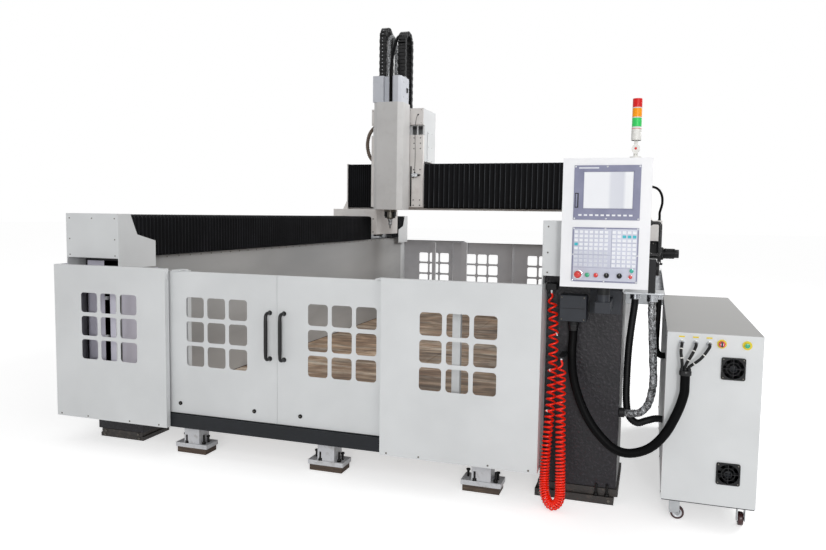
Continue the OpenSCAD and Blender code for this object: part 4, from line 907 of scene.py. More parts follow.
def door_piece(node, handle_x, out):
    """A folded sheet door with a bow handle and roller bolts; out is -1 at the front and 1 at the rear."""
    face = DOOR_FACES[out]
    # the rear doors' inward faces take the grey copy of the coat, painted shade
    door = shape_of(node, 1.6, [WHITE, INNER_SHADE], lambda x, y, z, n: 1 if out > 0 and n.y < -0.5 else 0,
                    drop=lambda x, y, z: out * (y - face) > 0.1)
    parts = [door]
    mid = (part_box(node)[0][0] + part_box(node)[1][0]) * 500 + ORIGIN_X
    for x in (mid - 290, mid + 290):
        parts.append(turned([(0, 7.6), (5, 7.6), (6, 5.4), (8.4, 5.4), (9.4, 7.6), (12.4, 7.2), (13.8, 5),
                             (13.8, 0), (0, 0)], at(x, face, 365), (0, out, 0), BLACKED, 24))
        parts.append(turned([(0, 8.2), (4, 8.0), (4.6, 6), (4.6, 3), (0, 3)], at(x, face, 365), (0, out, 0),
                            SCREW, 12))
    top, low = HANDLE_MIDDLE + HANDLE_HALF, HANDLE_MIDDLE - HANDLE_HALF
    bow = [Vector((handle_x, face + out * d, z)) for d, z in bow_path(1, 58, top, low, 24, 7, 8)]
    # the grip is a little thicker than the bends
    parts.append(sweep(bow, [12.6 if abs(p.z - HANDLE_MIDDLE) < 110 else 11 for p in bow], NYLON, 20))
    for z in (top, low):
        parts.append(turned([(0, 0.3), (16, 0.3), (16.5, 2), (15, 7), (12, 12), (11.2, 17), (0, 17)],
                            at(handle_x, face, z), (0, out, 0), NYLON, 24))
    return stand_for(join(node.replace("door", "sliding_door"), parts), node)


door_piece("door_front_left", -257, -1)
door_piece("door_front_right", -153, -1)
door_piece("door_rear_left", 88, 1)
door_piece("door_rear_right", 192, 1)

# ---------- bellows ----------


def pleats(name, outline, start, end, count, depth, direction, inside, edge=3.0, fold=FOLD_HIGHLIGHT):
    """Folded cloth, 1.5 mm thick, from start to end along direction.

    The outline's rows are a point across the run and the way inwards from it. Each fold has a flat welded
    edge in a lighter finish, a painted highlight, and goes depth millimetres in, some a little more and some
    less. inside is a point within the cover: its faces look away from it, and its thickness goes towards it.
    """
    steps, on_edge = [], []
    pitch = (end - start) / count
    p = start
    for _ in range(count):
        inner = depth * (1 + 0.16 * (chance.random() - 0.5))
        steps += [(p, 0.0), (p + edge, 0.0), (p + edge + (pitch - edge) * 0.5, inner)]
        on_edge += [1, 0, 0]
        p += pitch
    steps += [(end - edge, 0.0), (end, 0.0)]
    on_edge += [1, 0]
    points, faces, marks = [], [], []
    m = len(outline)
    for pos, inset in steps:
        for (a, b), (da, db) in outline:
            a2, b2 = a + da * inset, b + db * inset
            points.append(at(a2, pos, b2) if direction == "y" else at(pos, a2, b2))
    for i in range(len(steps) - 1):
        for k in range(m - 1):
            faces.append((i * m + k, i * m + k + 1, (i + 1) * m + k + 1, (i + 1) * m + k))
            marks.append(on_edge[i])
    obj = mesh_object(points, [], faces, CLOTH)
    obj.name = name
    obj.data.name = name
    obj.data.materials.append(fold)
    obj.data.polygons.foreach_set("material_index", marks)
    work = bmesh.new()
    work.from_mesh(obj.data)
    if sum((f.calc_center_median() - inside).dot(f.normal) * f.calc_area() for f in work.faces) < 0:
        bmesh.ops.reverse_faces(work, faces=work.faces[:])
    work.to_mesh(obj.data)
    work.free()
    finish_modifier(obj, "SOLIDIFY", thickness=0.0015, offset=-1)
    return obj


def wall_outline(s):
    """Inverted trough over one wall: up its inner side, over a top with a slight dip, down its outer side."""
    half, foot, top = 224.7, 1352, 1660
    edge = [(half, foot, 1, 0), (half, top - 26, 1, -0.3), (half - 14, top - 6, 0.7, -0.8),
            (half - 60, top, 0, -1)]
    inner = [((s * (WALL_MIDDLE - d), z), (s * in_x, in_z)) for d, z, in_x, in_z in edge]
    outer = [((s * (WALL_MIDDLE + d), z), (-s * in_x, in_z)) for d, z, in_x, in_z in reversed(edge)]
    return inner + [((s * WALL_MIDDLE, top - 3), (0, -1))] + outer


front_covers, rear_covers = [], []
for s in (-1, 1):
    middle = at(s * WALL_MIDDLE, 2600, 1500)
    front_covers.append(pleats("y_pleats", wall_outline(s), 260, 4989.7, 110, 12, "y", middle))
    middle = at(s * WALL_MIDDLE, 6085, 1500)
    rear_covers.append(pleats("y_pleats_rear", wall_outline(s), 5830.3, 6340, 32, 12, "y", middle))
front = join("wall_bellows_front", front_covers)
stand_for(front, "y_bellows_front")
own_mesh(front)
rear = join("wall_bellows_rear", rear_covers)
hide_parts("y_bellows_rear")
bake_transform(rear)

BEAM_OUTLINE = [((5223, 1777), (0, 0.2)), ((5160, 1777), (0.2, 0.2)), ((5146, 1781), (0.6, 0.2)),
                ((5140, 1797), (1, 0)), ((5142, 2070), (1, 0)), ((5140, 2347), (1, 0)),
                ((5146, 2363), (0.6, -0.2)), ((5160, 2367), (0.2, -0.2)), ((5223, 2367), (0, -0.2))]
right = pleats("beam_bellows_right", BEAM_OUTLINE, -819.7, 1914.7, 40, 6, "x", at(550, 5400, 2070), 8,
               FOLD_HIGHLIGHT_GREY)
stand_for(right, "x_bellows_right")
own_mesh(right)
left = pleats("beam_bellows_left", BEAM_OUTLINE, -1914.7, -1550.3, 12, 10, "x", at(-1730, 5400, 2070), 1.6)
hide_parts("x_bellows_left")
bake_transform(left)

# ---------- gantry ----------

saddles = [shape_of("saddles", 5, [ENAMEL_WARM, TURNED],
                    lambda x, y, z, n: 1 if 1350 < z < 1414.9 and abs(x) < 2100 else 0)]
for s in (-1, 1):
    # the drive bracket bolted over the lower skirt that carries the motor
    saddles.append(slab((s * 2163.5, s * 2205.2), (5047, 5773), (1138, 1438), MOTOR, 4))
saddles += cap_heads([(s * x, 4990, z) for s in (-1, 1) for x in (1480, 1980) for z in (1450, 1625)], FRONT,
                     BLACKED)
stand_for(join("gantry_saddles", saddles), "saddles")

beam = [shape_of("beam", 3, [ENAMEL_WARM, TURNED],
                 lambda x, y, z, n: 1 if 5185 < y < 5224.8 and abs(x) < 1905 else 0)]
for s in (1, -1):
    bolts = [(s * 1930, y, z) for y in (5180, 5600) for z in (1800, 1980, 2160, 2330)]
    beam += cap_heads(bolts, (s, 0, 0), BLACKED)
beam.append(slab((1872, 1913.5), (5133, 5138.5), (1862, 2208), ENAMEL, 1.5))
stand_for(join("gantry_beam", beam), "beam")


def servo(s):
    """A servo motor on the saddle's outer side: flange, ribbed shell, encoder cap and two connectors."""
    y, z, flange_x = 5250, 1258, 2205.3
    shell_x = s * (flange_x + 22)
    flange = slab((s * flange_x, shell_x), (y - 75, y + 75), (z - 75, z + 75), MOTOR, 6, 3)
    ribs = rings(11.4, 11, [(63.8, 2), (63.8, 8), (60, 9), (60, 12.6)])
    encoder = [(63.8, 128), (60, 131), (51.8, 133), (51.8, 176), (47, 182), (0, 182)]
    parts = [flange, turned([(0, 0)] + ribs + encoder, at(shell_x, y, z), (s, 0, 0), MOTOR, 40)]
    parts += cap_heads([(shell_x, y + i, z + j) for i in (-60, 60) for j in (-60, 60)], (s, 0, 0), SCREW, 8,
                       7)
    # slanting connectors near the flange and at the encoder end
    for out, forward, up in ((46, 46, 40), (150, 34, 34)):
        parts.append(turned([(0, 0), (17, 0), (17, 12), (14, 14), (14, 22), (11, 26), (0, 26)],
                            at(s * (flange_x + out), y - forward, z + up), (0, -0.7, 0.7), ABS, 20))
    return parts


motors = servo(-1) + servo(1)
# the reduction gearboxes between the skirts and the walls, with their pinion housings
for s in (-1, 1):
    motors.append(slab((s * 1904, s * 2163), (5142, 5378), (1196, 1410), MOTOR, 8, 3))
    motors.append(turned([(0, 0), (74, 0), (78, 4), (78, 30), (72, 36), (0, 36)], at(s * 1990, 5250, 1196),
                         DOWN, MOTOR, 40))
    motors += cap_heads([(s * x, 5142, z) for x in (1930, 2110) for z in (1223, 1383)], FRONT, SCREW)
# the motor hose that arches from the beam's right end down to the saddle, with a gland at each end
ARCH = [(1930.3, 2080), (1970, 2080), (2010, 2080), (2125, 2050), (2182, 1975), (2194, 1870), (2170, 1760),
        (2170, 1710), (2170, 1660.3)]
motors.append(sweep(along([(x, 5238, z) for x, z in ARCH], 6), 14.8, SLEEVE, 16))
for (x, z), way in ((ARCH[0], RIGHT), (ARCH[-1], UP)):
    motors.append(turned([(0, 0), (20, 0), (20, 6), (17, 14), (0, 14)], at(x, 5238, z), way, ABS, 24))
stand_for(join("wall_drive_motors", motors), "y_motors")

# ---------- carriage, ram and spindle ----------


def carriage_finish(x, y, z, n):
    """Bare steel guide blocks, a white hood behind the plate, and warm enamel on the rest."""
    if 5141 < y < 5224 and z < 2300:
        return 1
    return 2 if z > 2396 and y > 5137 else 0


PLATE_FACE = 5080
carriage = [shape_of("carriage", 4, [ENAMEL_WARM, TURNED, WHITE], carriage_finish)]
bolt_rows = (1815, 1885, 2215, 2285, 2560, 2630, 2700)
carriage += cap_heads([(x, PLATE_FACE, z) for x in (-945, -856) for z in bolt_rows], FRONT, BLACKED, 7.5, 5)
# a black strip flush with the plate beside the ram, painted shade for the inside of the guide slit; and the
# air valve with its elbows
carriage.append(slab((-992, -972), (5073, 5080.5), (1800, 2330), ABS, 2))
carriage.append(slab((-966, -884), (5046, 5080.2), (2188, 2236), POLISHED, 4, 3))
carriage.append(turned([(0, 0), (13, 0), (13, 16), (10, 18), (10, 26), (0, 26)], at(-884, 5063, 2212),
                       RIGHT, ABS, 20))
carriage.append(turned([(0, 0), (11, 0), (11, 14), (8, 17), (8, 20), (0, 20)], at(-926, 5063, 2232), UP,
                       ABS, 20))
carriage.append(turned([(0, 0), (12, 0), (12, 12), (0, 12)], at(-946, 5063, 2188), DOWN, ABS, 20))
carriage.append(turned([(0, 1), (5, 1), (6, 3), (10, 3), (11, 0), (0, 0)], at(-893, 5080, 3003), FRONT,
                       NYLON, 20))
# screws of the access cover on the right, and of the hood
carriage += pan_heads([(-804.8, y, z) for y in (5270, 5425) for z in (2412, 2595, 2778)], RIGHT, 5)
carriage += pan_heads([(x, PLATE_FACE - 0.2, z) for z in (2895, 3065) for x in (-1530, -1000, -850)], FRONT,
                      5)
stand_for(join("z_carriage", carriage), "carriage")

# the ribbed conduit that bows out on the carriage's left, with a gland at each end
CONDUIT_PATH = [(-1550.3, 2863), (-1580, 2863), (-1610, 2863), (-1672, 2778), (-1698, 2642),
                (-1672, 2506), (-1610, 2420), (-1580, 2420), (-1550.3, 2420)]
conduit_line, conduit_radii = ribbed(along([(x, 5305, z) for x, z in CONDUIT_PATH], 6), 27.0, 26, 6.0)
conduit = [sweep(conduit_line, conduit_radii, CONDUIT, 20)]
for z, finish in ((2863, NATURAL), (2420, ABS)):
    conduit.append(turned([(0, 0), (31, 0), (31, 10), (28, 14), (28, 26), (0, 26)], at(-1550.1, 5305, z),
                          LEFT, finish, 6))
stand_for(join("carriage_conduit_ribbed", conduit), "carriage_conduit")

# heights of the motor head's underside and top, and of the hood's top
HEAD_BASE, HEAD_TOP, HOOD_TOP = 3127.3, 3459.3, 3088.3


def ram_finish(x, y, z, n):
    """Bare steel rails behind the ram, and a cooler enamel on the motor head."""
    if y > 5040.2 and z < HEAD_BASE - 0.3:
        return 1
    return 2 if HEAD_BASE - 0.2 < z < HEAD_TOP - 0.1 else 0


ram = [shape_of("ram", 3.5, [ENAMEL, TURNED, ENAMEL_COOL], ram_finish)]
ram += pan_heads([(-1019.8, y, z) for y in (4850, 5010) for z in (3200, 3390)], RIGHT, 5)
# the connector on the head's right side, and the wrapped bundle that climbs behind the head
ram.append(slab((-1021, -1006), (4960, 4992), (3270, 3330), ABS, 3))
ram.append(slab((-1352, -1318), (4995, 5029.8), (3465, 3900), FILM_GLINTS, 6, 3))
stand_for(join("z_ram_and_head", ram), "ram")

SPINDLE_X, SPINDLE_Y = -1195, 4880
# a bored flange and collar, with a cover block on each side
housing_profile = [(36, 0), (43, 0), (44, 2), (44, 16), (46, 18), (46, 88), (83, 90), (83.8, 92),
                   (83.8, 116.5), (36, 116.5), (36, 0)]
spindle_parts = [turned(housing_profile, at(SPINDLE_X, SPINDLE_Y, 1633), UP, SCREW, 64)]
for s in (-1, 1):
    spindle_parts.append(slab((SPINDLE_X + s * 47, SPINDLE_X + s * 72), (4846, 4914), (1662, 1724), ABS, 4,
                              3))
    spindle_parts.append(slab((SPINDLE_X + s * 50, SPINDLE_X + s * 66), (4858, 4902), (1640, 1664), MOTOR,
                              4, 3))
flange_bolts = [(SPINDLE_X + dx, SPINDLE_Y + dy, 1723) for dx, dy in round_circle(67, 6, 0.3)]
spindle_parts += cap_heads(flange_bolts, DOWN, BLACKED, 5, 4)
stand_for(join("spindle_housing", spindle_parts), "spindle_body")

# shaft, tapered holder with its gripper groove, collet nut with eight slots, and the cutter's shank and tip
shaft = [(0, 215), (34.6, 215), (34.6, 128), (33, 126), (29, 125), (27.6, 122), (27.6, 116), (25, 114),
         (25, 110), (27.6, 108), (27.6, 98), (26, 97)]
holder = [(22.6, 90), (22.6, 84), (20.5, 82), (20.5, 70), (22.8, 68), (22.8, 54), (20, 51), (15, 47),
          (12, 44)]
cutter = [(9.8, 42), (9.8, 12), (7.4, 4), (0, 0)]
nose_parts = [turned(shaft + holder + cutter, at(SPINDLE_X, SPINDLE_Y, 1503.3), UP, TURNED, 48)]
for dx, dy in round_circle(27, 8):
    x, y = SPINDLE_X + dx, SPINDLE_Y + dy
    nose_parts.append(slab((x - 3, x + 0.4), (y - 2, y + 2), (1603, 1611), BLACKED, 0.5))
stand_for(join("collet_nose_and_cutter", nose_parts), "spindle_nose")

# the chains rise at one distance from the front, bend over on this radius, and come down on the hood
CHAIN_UP, CHAIN_DOWN, CHAIN_RADIUS = 4950.0, 5220.0, 135


def chain_line(bend_height, step):
    """Places of a chain's links, up from the head, over and down to the hood: y, z and how far each turns."""
    line = []
    z = HEAD_TOP + step / 2
    while z < bend_height:
        line.append((CHAIN_UP, z, 0.0))
        z += step
    n = max(6, round(math.pi * CHAIN_RADIUS / step))
    for k in range(n + 1):
        a = math.pi - math.pi * k / n
        line.append((CHAIN_UP + CHAIN_RADIUS * (1 + math.cos(a)), bend_height + CHAIN_RADIUS * math.sin(a),
                     math.pi * k / n))
    z = bend_height - step
    while z > HOOD_TOP + step / 2:
        line.append((CHAIN_DOWN, z, math.pi))
        z -= step
    return line


def block(size, middle, finish, r):
    """A rounded block beside the frame's origin, in millimetres, for a link that is then copied."""
    return rounded_box([c / 1000 for c in middle], [c / 1000 for c in size], finish, r)


def chain(x0, w, bend_height, dots):
    """Links of a nylon energy chain, w wide from x0, each with two side plates, their pins and two lids.

    Every second link is narrower by its plates, and dots sets a bright rivet in each link's front lid.
    """
    pitch = 46
    kinds = []
    for inset in (0, 5):
        link = []
        for s in (-1, 1):
            xs = s * (w / 2 - 4.2 - inset)
            link.append(block((8, 56, pitch * 1.04), (xs, 0, 0), ABS, 3.5))
            link.append(turned([(0, 2), (5, 2), (7, 0), (0, 0)], ((xs + 4 * s) / 1000, 0, 0), (s, 0, 0),
                               ABS, 10))
        link += [block((w - 8, 6, pitch * 0.9), (0, y, 0), NYLON, 2) for y in (-23.8, 23.8)]
        if dots:
            link.append(turned([(0, 1.8), (4.6, 1.2), (6, -1), (0, -1)], (0, -0.0266, 0), FRONT, POLISHED,
                               10))
        kinds.append(join("link", link))
    places = [Matrix.Translation(at(x0 + w / 2, y, z)) @ Matrix.Rotation(-turn, 4, "X")
              for y, z, turn in chain_line(bend_height, pitch)]
    return repeat(kinds[0], places[::2]) + repeat(kinds[1], places[1::2])


loops = chain(-1390, 90, 3980, True) + chain(-1135, 110, 3915, False)
# the hose that arches over the head in front of the second chain
HOSE_OVER = [(-1165, 4765, HEAD_BASE), (-1165, 4765, 3339), (-1165, 4771, 3519), (-1163, 4835, 3759),
             (-1163, 4960, 3949), (-1163, 5080, 4019), (-1163, 5210, 3929), (-1163, 5240, 3659),
             (-1163, 5240, HOOD_TOP)]
loops.append(sweep(along(HOSE_OVER, 6), 19.6, SLEEVE, 18))
# the film-wrapped bundle that runs beside the first chain
BUNDLE = [(CHAIN_UP, 3462), (CHAIN_UP, 3700), (CHAIN_UP, 3880), (4985, 3985), (5085, 4030), (5185, 3985),
          (CHAIN_DOWN, 3880), (CHAIN_DOWN, 3500), (CHAIN_DOWN, 3095)]
bundle = along([(-1262, y, z) for y, z in BUNDLE], 8)
loops.append(sweep(bundle, [19 + 5 * chance.random() for _ in bundle], FILM_GLINTS, 14))
# the zinc plates that the chains stand on
for ends in ((-1388, -1302), (-1135, -1025)):
    loops.append(slab(ends, (4915, 4985), (HEAD_TOP + 0.1, 3475), ZINC, 2))
chains = join("energy_chains", loops)
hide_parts("z_chains")
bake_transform(chains)

# ---------- pendant ----------

# the face of its panels, the height of the lower row of controls, and the lamp's middle
PANEL_FACE, CONTROL_ROW = -124, 1379
LAMP_X, LAMP_Y = 2000, -65

stand_for(shape_of("pendant_bracket", 4, [JUNCTION]), "pendant_bracket", name="pendant_arm")
housing = [shape_of("pendant_housing", 4, [PENDANT, NATURAL, ABS],
                    lambda x, y, z, n: 1 if z > 2000.2 else 2 if z < 1309 else 0, segments=3)]
housing.append(turned([(0, 1.6), (3, 1.6), (4, 0), (0, 0)], at(LAMP_X, -87, 2050.3), FRONT, BUTTON_RED, 16))
stand_for(join("pendant_case", housing), "pendant_housing")


def inset_front(obj, border, depth, number=None):
    """Insets an object's large front face by border and sinks it by depth, and may give it another finish."""
    work = bmesh.new()
    work.from_mesh(obj.data)
    face = max([f for f in work.faces if f.normal.y < -0.99], key=lambda f: f.calc_area())
    bmesh.ops.inset_region(work, faces=[face], thickness=border / 1000, depth=-depth / 1000)
    if number is not None:
        face.material_index = number
    work.to_mesh(obj.data)
    work.free()
    return obj


bezel = shape_of("pendant_panels", 0.8, [BEZEL, SCREEN],
                 lambda x, y, z, n: 1 if 1743 < x < 1997 and 1733 < z < 1928 and y > -123.2 else 0,
                 drop=lambda x, y, z: z < 1640)
key_plate = slab((1692, 2034), (PANEL_FACE, -120.3), (1341, 1633), BEZEL, 1.2)
key_plate.data.materials.append(FIELD)
panel_parts = [bezel, inset_front(key_plate, 9, 0, 1)]
stop_collar = [(21, 0), (25, 0), (25, 1.4), (24, 2), (21, 2), (21, 0)]
panel_parts.append(turned(stop_collar, at(1727, PANEL_FACE, CONTROL_ROW), FRONT, POLISHED, 40))
# card pocket left of the screen, and the blank strip above the screen
panel_parts.append(slab((1699, 1718), (-125.4, -123.6), (1737, 1816), ABS, 0.8))
panel_parts.append(slab((1703, 1712), (-126.4, -125.0), (1742, 1811), BEZEL, 0.6))
panel_parts.append(slab((1716, 1820), (-124.6, -123.7), (1944, 1952), KEYCAP_GREY, 0.3))
# rim of the screen opening
for x, z in (((1740, 1744), (1730, 1931)), ((1996, 2000), (1730, 1931)), ((1740, 2000), (1730, 1734)),
             ((1740, 2000), (1927, 1931))):
    panel_parts.append(slab(x, (-125.2, -123.6), z, BEZEL, 0.7))
# screws round the screen's bezel and the key plate
panel_screws = [(x, z) for x in (1699, 1863, 2027) for z in (1680, 1955)]
panel_screws += [(x, z) for x in (1698, 1863, 2028) for z in (1347, 1627)] + [(1698, 1487), (2028, 1487)]
panel_parts += pan_heads([(x, PANEL_FACE, z) for x, z in panel_screws], FRONT, 5, POLISHED, 2.4)
# lines between the key groups
for x, z in (((1896, 1898), (1420, 1625)), ((1702, 2024), (1417.5, 1419)), ((1702, 1892), (1486.2, 1487.4)),
             ((1902, 2024), (1552.2, 1553.4))):
    panel_parts.append(slab(x, (-124.4, -123.8), z, BEZEL, 0.3, 1))
stand_for(join("pendant_control_panels", panel_parts), "pendant_panels")


def key_parts():
    """Key caps with a step round their tops, the soft keys under the screen, and two signal lights."""
    made = []
    for column in range(12):
        for row in range(9):
            x0 = 1704 + column * 26 + (14 if column > 6 else 0)
            z0 = 1425 + row * 22
            finish = KEYCAP if row > 3 or column > 6 else KEYCAP_GREY
            if (column, row) in ((9, 7), (10, 7), (11, 7), (0, 5)):
                finish = KEYCAP_CYAN
            cap = slab((x0, x0 + 18), (-127, -124.2), (z0, z0 + 15), finish, 1.2)
            made.append(inset_front(cap, 1.6, 0.6))
    for i in range(10):
        made.append(slab((1719 + i * 29, 1737 + i * 29), (-127, -124.2), (1693.5, 1703), KEYCAP, 1.4))
    for x, z, r, finish in ((1999, 1375, 12, BUTTON_RED), (2004, 1407, 13, LIGHT_TEAL)):
        dome = [(r, 0), (r, 4), (r - 1.5, 5), (r - 2.5, 5), (r - 3, 7), (r - 5, 8.6), (0, 8.8), (0, 0),
                (r, 0)]
        ring = [(r - 2.4, 4.2), (r - 0.2, 4.2), (r - 0.2, 5.6), (r - 1.4, 6), (r - 2.4, 5.6), (r - 2.4, 4.2)]
        made.append(turned(dome, at(x, -124.2, z), FRONT, finish, 32))
        made.append(turned(ring, at(x, -124.2, z), FRONT, POLISHED, 32))
    return made


stand_for(join("key_caps_and_lights", key_parts()), "keys")

# the bow handle on the pendant's right side, and the black box of the handwheel below it
SIDE_X, SIDE_Y = 2090.3, -65
HANDLE_TOP, HANDLE_LOW = 1662, 1490
bow = [Vector((SIDE_X + d, SIDE_Y, z)) for d, z in bow_path(0.5, 50, HANDLE_TOP, HANDLE_LOW, 16, 6, 6)]
handle_parts = [sweep(bow, 8.8, NYLON, 18)]
for z in (HANDLE_TOP, HANDLE_LOW):
    handle_parts.append(turned([(0, 0), (15, 0), (15, 3), (12, 8), (9.4, 12), (0, 12)],
                               at(SIDE_X, SIDE_Y, z), RIGHT, NYLON, 24))
handle_parts.append(shape_of("pendant_handle", 3, [ABS],
                             drop=lambda x, y, z: z > 1472 and (z > 1480 or x > 2127)))
handle_parts += pan_heads([(2126.3, y, z) for y in (-92, -38) for z in (1300, 1460)], RIGHT, 3.5, h=2)
stand_for(join("side_handle_and_box", handle_parts), "pendant_handle")

# the handwheel: grooved rim, dished face, crank knob and a ring of pale graduation dots
WHEEL_X, WHEEL_Z = SIDE_X + 36.3, 1420
rim = [(0, -14), (7.8, -14), (7.8, 0), (36, 0), (37.8, 2), (37.8, 5), (36.4, 6.4), (37.8, 8), (37.8, 14),
       (36, 15.8)]
dish = [(31, 15.8), (29, 9), (14, 8.4), (12, 11.6), (0, 11.6)]
wheel = [turned(rim + dish, at(WHEEL_X, SIDE_Y, WHEEL_Z), RIGHT, NYLON, 48),
         turned([(0, 0), (5, 0), (5.8, 2), (5.8, 12), (4.6, 15.6), (0, 15.8)],
                at(WHEEL_X + 15, SIDE_Y, 1446), RIGHT, ABS, 24)]
for dy, dz in round_circle(34.4, 20):
    wheel.append(turned([(0, 0.8), (1.4, 0.8), (1.6, 0), (0, 0)],
                        at(WHEEL_X + 15.8, SIDE_Y + dy, WHEEL_Z + dz), RIGHT, NATURAL, 8))
stand_for(join("feed_handwheel", wheel), "handwheel")

# emergency stop: waisted mushroom head with a raised ring on its crown
mushroom = [(0, 0), (6.8, 0), (6.8, 22), (11, 22), (15, 24), (19.4, 29), (19.9, 34), (19, 42), (15, 49),
            (8, 51.6), (3, 51), (0, 51)]
crown_ring = [(12.4, 0), (13.4, 0), (13.4, 0.9), (12.4, 0.9), (12.4, 0)]
stop = [turned(mushroom, at(1727, -102.2, CONTROL_ROW), FRONT, BUTTON_RED, 40),
        turned(crown_ring, at(1727, -152.3, CONTROL_ROW), FRONT, BUTTON_RED, 36)]
stand_for(join("stop_mushroom", stop), "e_stop")


def push_button(node, x, finish):
    """A push button with its stem, a domed cap and a bright ring round the cap."""
    base = at(x, PANEL_FACE - 7, CONTROL_ROW)
    cap = [(0, -26), (6.8, -26), (6.8, 0), (10.4, 0), (11.8, 1.2), (11.8, 6), (10.6, 7.8), (8, 8.8), (0, 9)]
    ring = [(9.6, 0.2), (11.95, 0.2), (11.95, 4), (11.3, 5), (9.6, 5), (9.6, 0.2)]
    parts = [turned(cap, base, FRONT, finish, 32), turned(ring, base, FRONT, POLISHED, 32)]
    return stand_for(join(node + "_cap", parts), node)


push_button("start_button", 1777, BUTTON_GREEN)
push_button("stop_button", 1822, BUTTON_RED)


def knob(node, x):
    """Selector knob: knurled skirt, and a bar grip with a white pointer line."""
    skirt = [(0, -22), (6.8, -22), (6.8, 0.6), (12.6, 0.6), (13.8, 2), (13.8, 7), (12.6, 10), (11, 13),
             (0, 13.4)]
    parts = [turned(skirt, at(x, -127, CONTROL_ROW), FRONT, ABS, 36)]
    for dx, dz in round_circle(13.1, 18):
        tx, tz = x + dx, CONTROL_ROW + dz
        parts.append(slab((tx - 0.8, tx + 0.8), (-133.6, -128.6), (tz - 0.8, tz + 0.8), ABS, 0.3, 1))
    grip, pointer = (CONTROL_ROW - 12, CONTROL_ROW + 12), (CONTROL_ROW + 2, CONTROL_ROW + 11)
    parts.append(slab((x - 3.4, x + 3.4), (-150, -139), grip, NYLON, 1.6, 3))
    parts.append(slab((x - 0.7, x + 0.7), (-150.2, -148), pointer, NATURAL, 0.3, 1))
    return stand_for(join(node + "_selector", parts), node)


knob("knob_left", 1877)
knob("knob_right", 1943)

# signal lamp: folding joint, ringed body and three fluted lenses
lamp = [shape_of("signal_lamp", 1.2, [NATURAL], drop=lambda x, y, z: z > 2093.6)]
body_profile = [(0, 0), (24, 0), (25.8, 2), (25.8, 38), (25, 40), (25, 42), (25.8, 44), (25.8, 62),
                (24.6, 66), (0, 66)]
red_ring = [(25.2, 0), (25.95, 0.4), (25.95, 2.6), (25.2, 3), (25.2, 0)]
lens_seat = [(0, 0), (24.4, 0), (24.8, 1), (24.8, 4.6), (22, 5), (0, 5)]
lens_profile = [(0, 5), (24.4, 5), (24.8, 6), (24.3, 12), (24.9, 18), (24.3, 25), (24.9, 32), (24.3, 39),
                (24.8, 45), (24.2, 49.8), (0, 49.8)]
lamp.append(turned(body_profile, at(LAMP_X, LAMP_Y, 2093.3), UP, NATURAL, 48))
lamp.append(turned(red_ring, at(LAMP_X, LAMP_Y, 2152), UP, LENS_RED, 48))
for i, finish in enumerate((LENS_GREEN, LENS_AMBER, LENS_RED)):
    seat = at(LAMP_X, LAMP_Y, 2159.6 + 50.3 * i)
    lamp += [turned(lens_seat, seat, UP, NATURAL, 48), turned(lens_profile, seat, UP, finish, 48)]
lamp.append(turned([(0, 0.9), (6.4, 0.9), (7, 0), (0, 0)], at(LAMP_X, -86.4, 2050.3), FRONT, BUTTON_RED, 20))
stand_for(join("signal_beacon", lamp), "signal_lamp")

# ---------- cabinet ----------

# on the cabinet's front: its face, its glands, its switch and its button, and its two fans
CABINET_FACE = 49.7
GLANDS, GLAND_ROW = (2274, 2345, 2413), 1020
SWITCH_X, BUTTON_X, SWITCH_ROW = 2476, 2600, 1022
FAN_X, FANS = 2538, {"fan_upper": 892, "fan_lower": 317}

# the cabinet's top takes the darker satin finish, painted shade
cabinet = [shape_of("cabinet_body", 3, [WHITE, SATIN_TOP_SHADED], lambda x, y, z, n: 1 if n.z > 0.9 and z > 1060 else 0)]
cabinet.append(slab((2210, 2672), (2046, 2051.5), (160, 1050), WHITE, 1.5))
cabinet += pan_heads([(x, 2051.5, z) for x in (2224, 2658) for z in (180, 600, 1030)], BACK, 6)
side_screws = [(y, z) for y in (90, 720, 1380, 2010) for z in (160, 1045)]
cabinet += pan_heads([(2199.8, y, z) for y, z in side_screws], LEFT, 6)
cabinet += pan_heads([(2681.8, y, z) for y, z in side_screws], RIGHT, 6, h=0.3)
stand_for(join("drive_cabinet", cabinet), "cabinet_body")
base = shape_of("cabinet_base", 2, [CHASSIS, ZINC], lambda x, y, z, n: 1 if z < 126 else 0)
stand_for(base, "cabinet_base", name="cabinet_floor")


def in_ring(x, z):
    """Whether a place on the cabinet's front lies on the yellow ring of its switch or its button."""
    return min(math.hypot(x - middle, z - SWITCH_ROW) for middle in (SWITCH_X, BUTTON_X)) < 26


fittings = [shape_of("cabinet_fittings", 1.0, [ABS, YELLOW], lambda x, y, z, n: 1 if in_ring(x, z) else 0,
                     drop=lambda x, y, z: 1000 < z < 1040 and x < 2440)]
gland = [(8.2, 0), (14.8, 0), (14.8, 7), (12.4, 8), (12.4, 11), (14, 12), (14, 22), (11, 28), (8.2, 29.5),
         (8.2, 0)]
for x in GLANDS:
    fittings.append(turned(gland, at(x, CABINET_FACE, GLAND_ROW), FRONT, POLISHED, 6))
    fittings.append(turned([(0, 0), (13, 0), (13, 3), (0, 3)], at(x, CABINET_FACE, GLAND_ROW), FRONT,
                           POLISHED, 24))
    fittings.append(slab((x - 15, x + 15), (48.2, 50.6), (1046, 1054), YELLOW, 0.6, 1))
for z in FANS.values():
    fittings += pan_heads([(FAN_X + i, 41.7, z + j) for i in (-50, 50) for j in (-50, 50)], FRONT, 4, h=2)
stand_for(join("cabinet_guards_and_glands", fittings), "cabinet_fittings")

for node, row in FANS.items():
    blades = [shape_of(node, 0.8, [ABS],
                       drop=lambda x, y, z: math.hypot(x - FAN_X, z - row) < 18.4 and y < 75)]
    blades.append(turned([(0, 0), (16, 0), (18.6, 2), (18.8, 5), (18.8, 23.6), (0, 23.6)],
                         at(FAN_X, 50.4, row), BACK, JUNCTION, 36))
    blades.append(turned([(0, 1.2), (13, 0.8), (14, 0), (0, 0)], at(FAN_X, 50.6, row), FRONT, JUNCTION, 36))
    stand_for(join(node + "_rotor", blades), node)

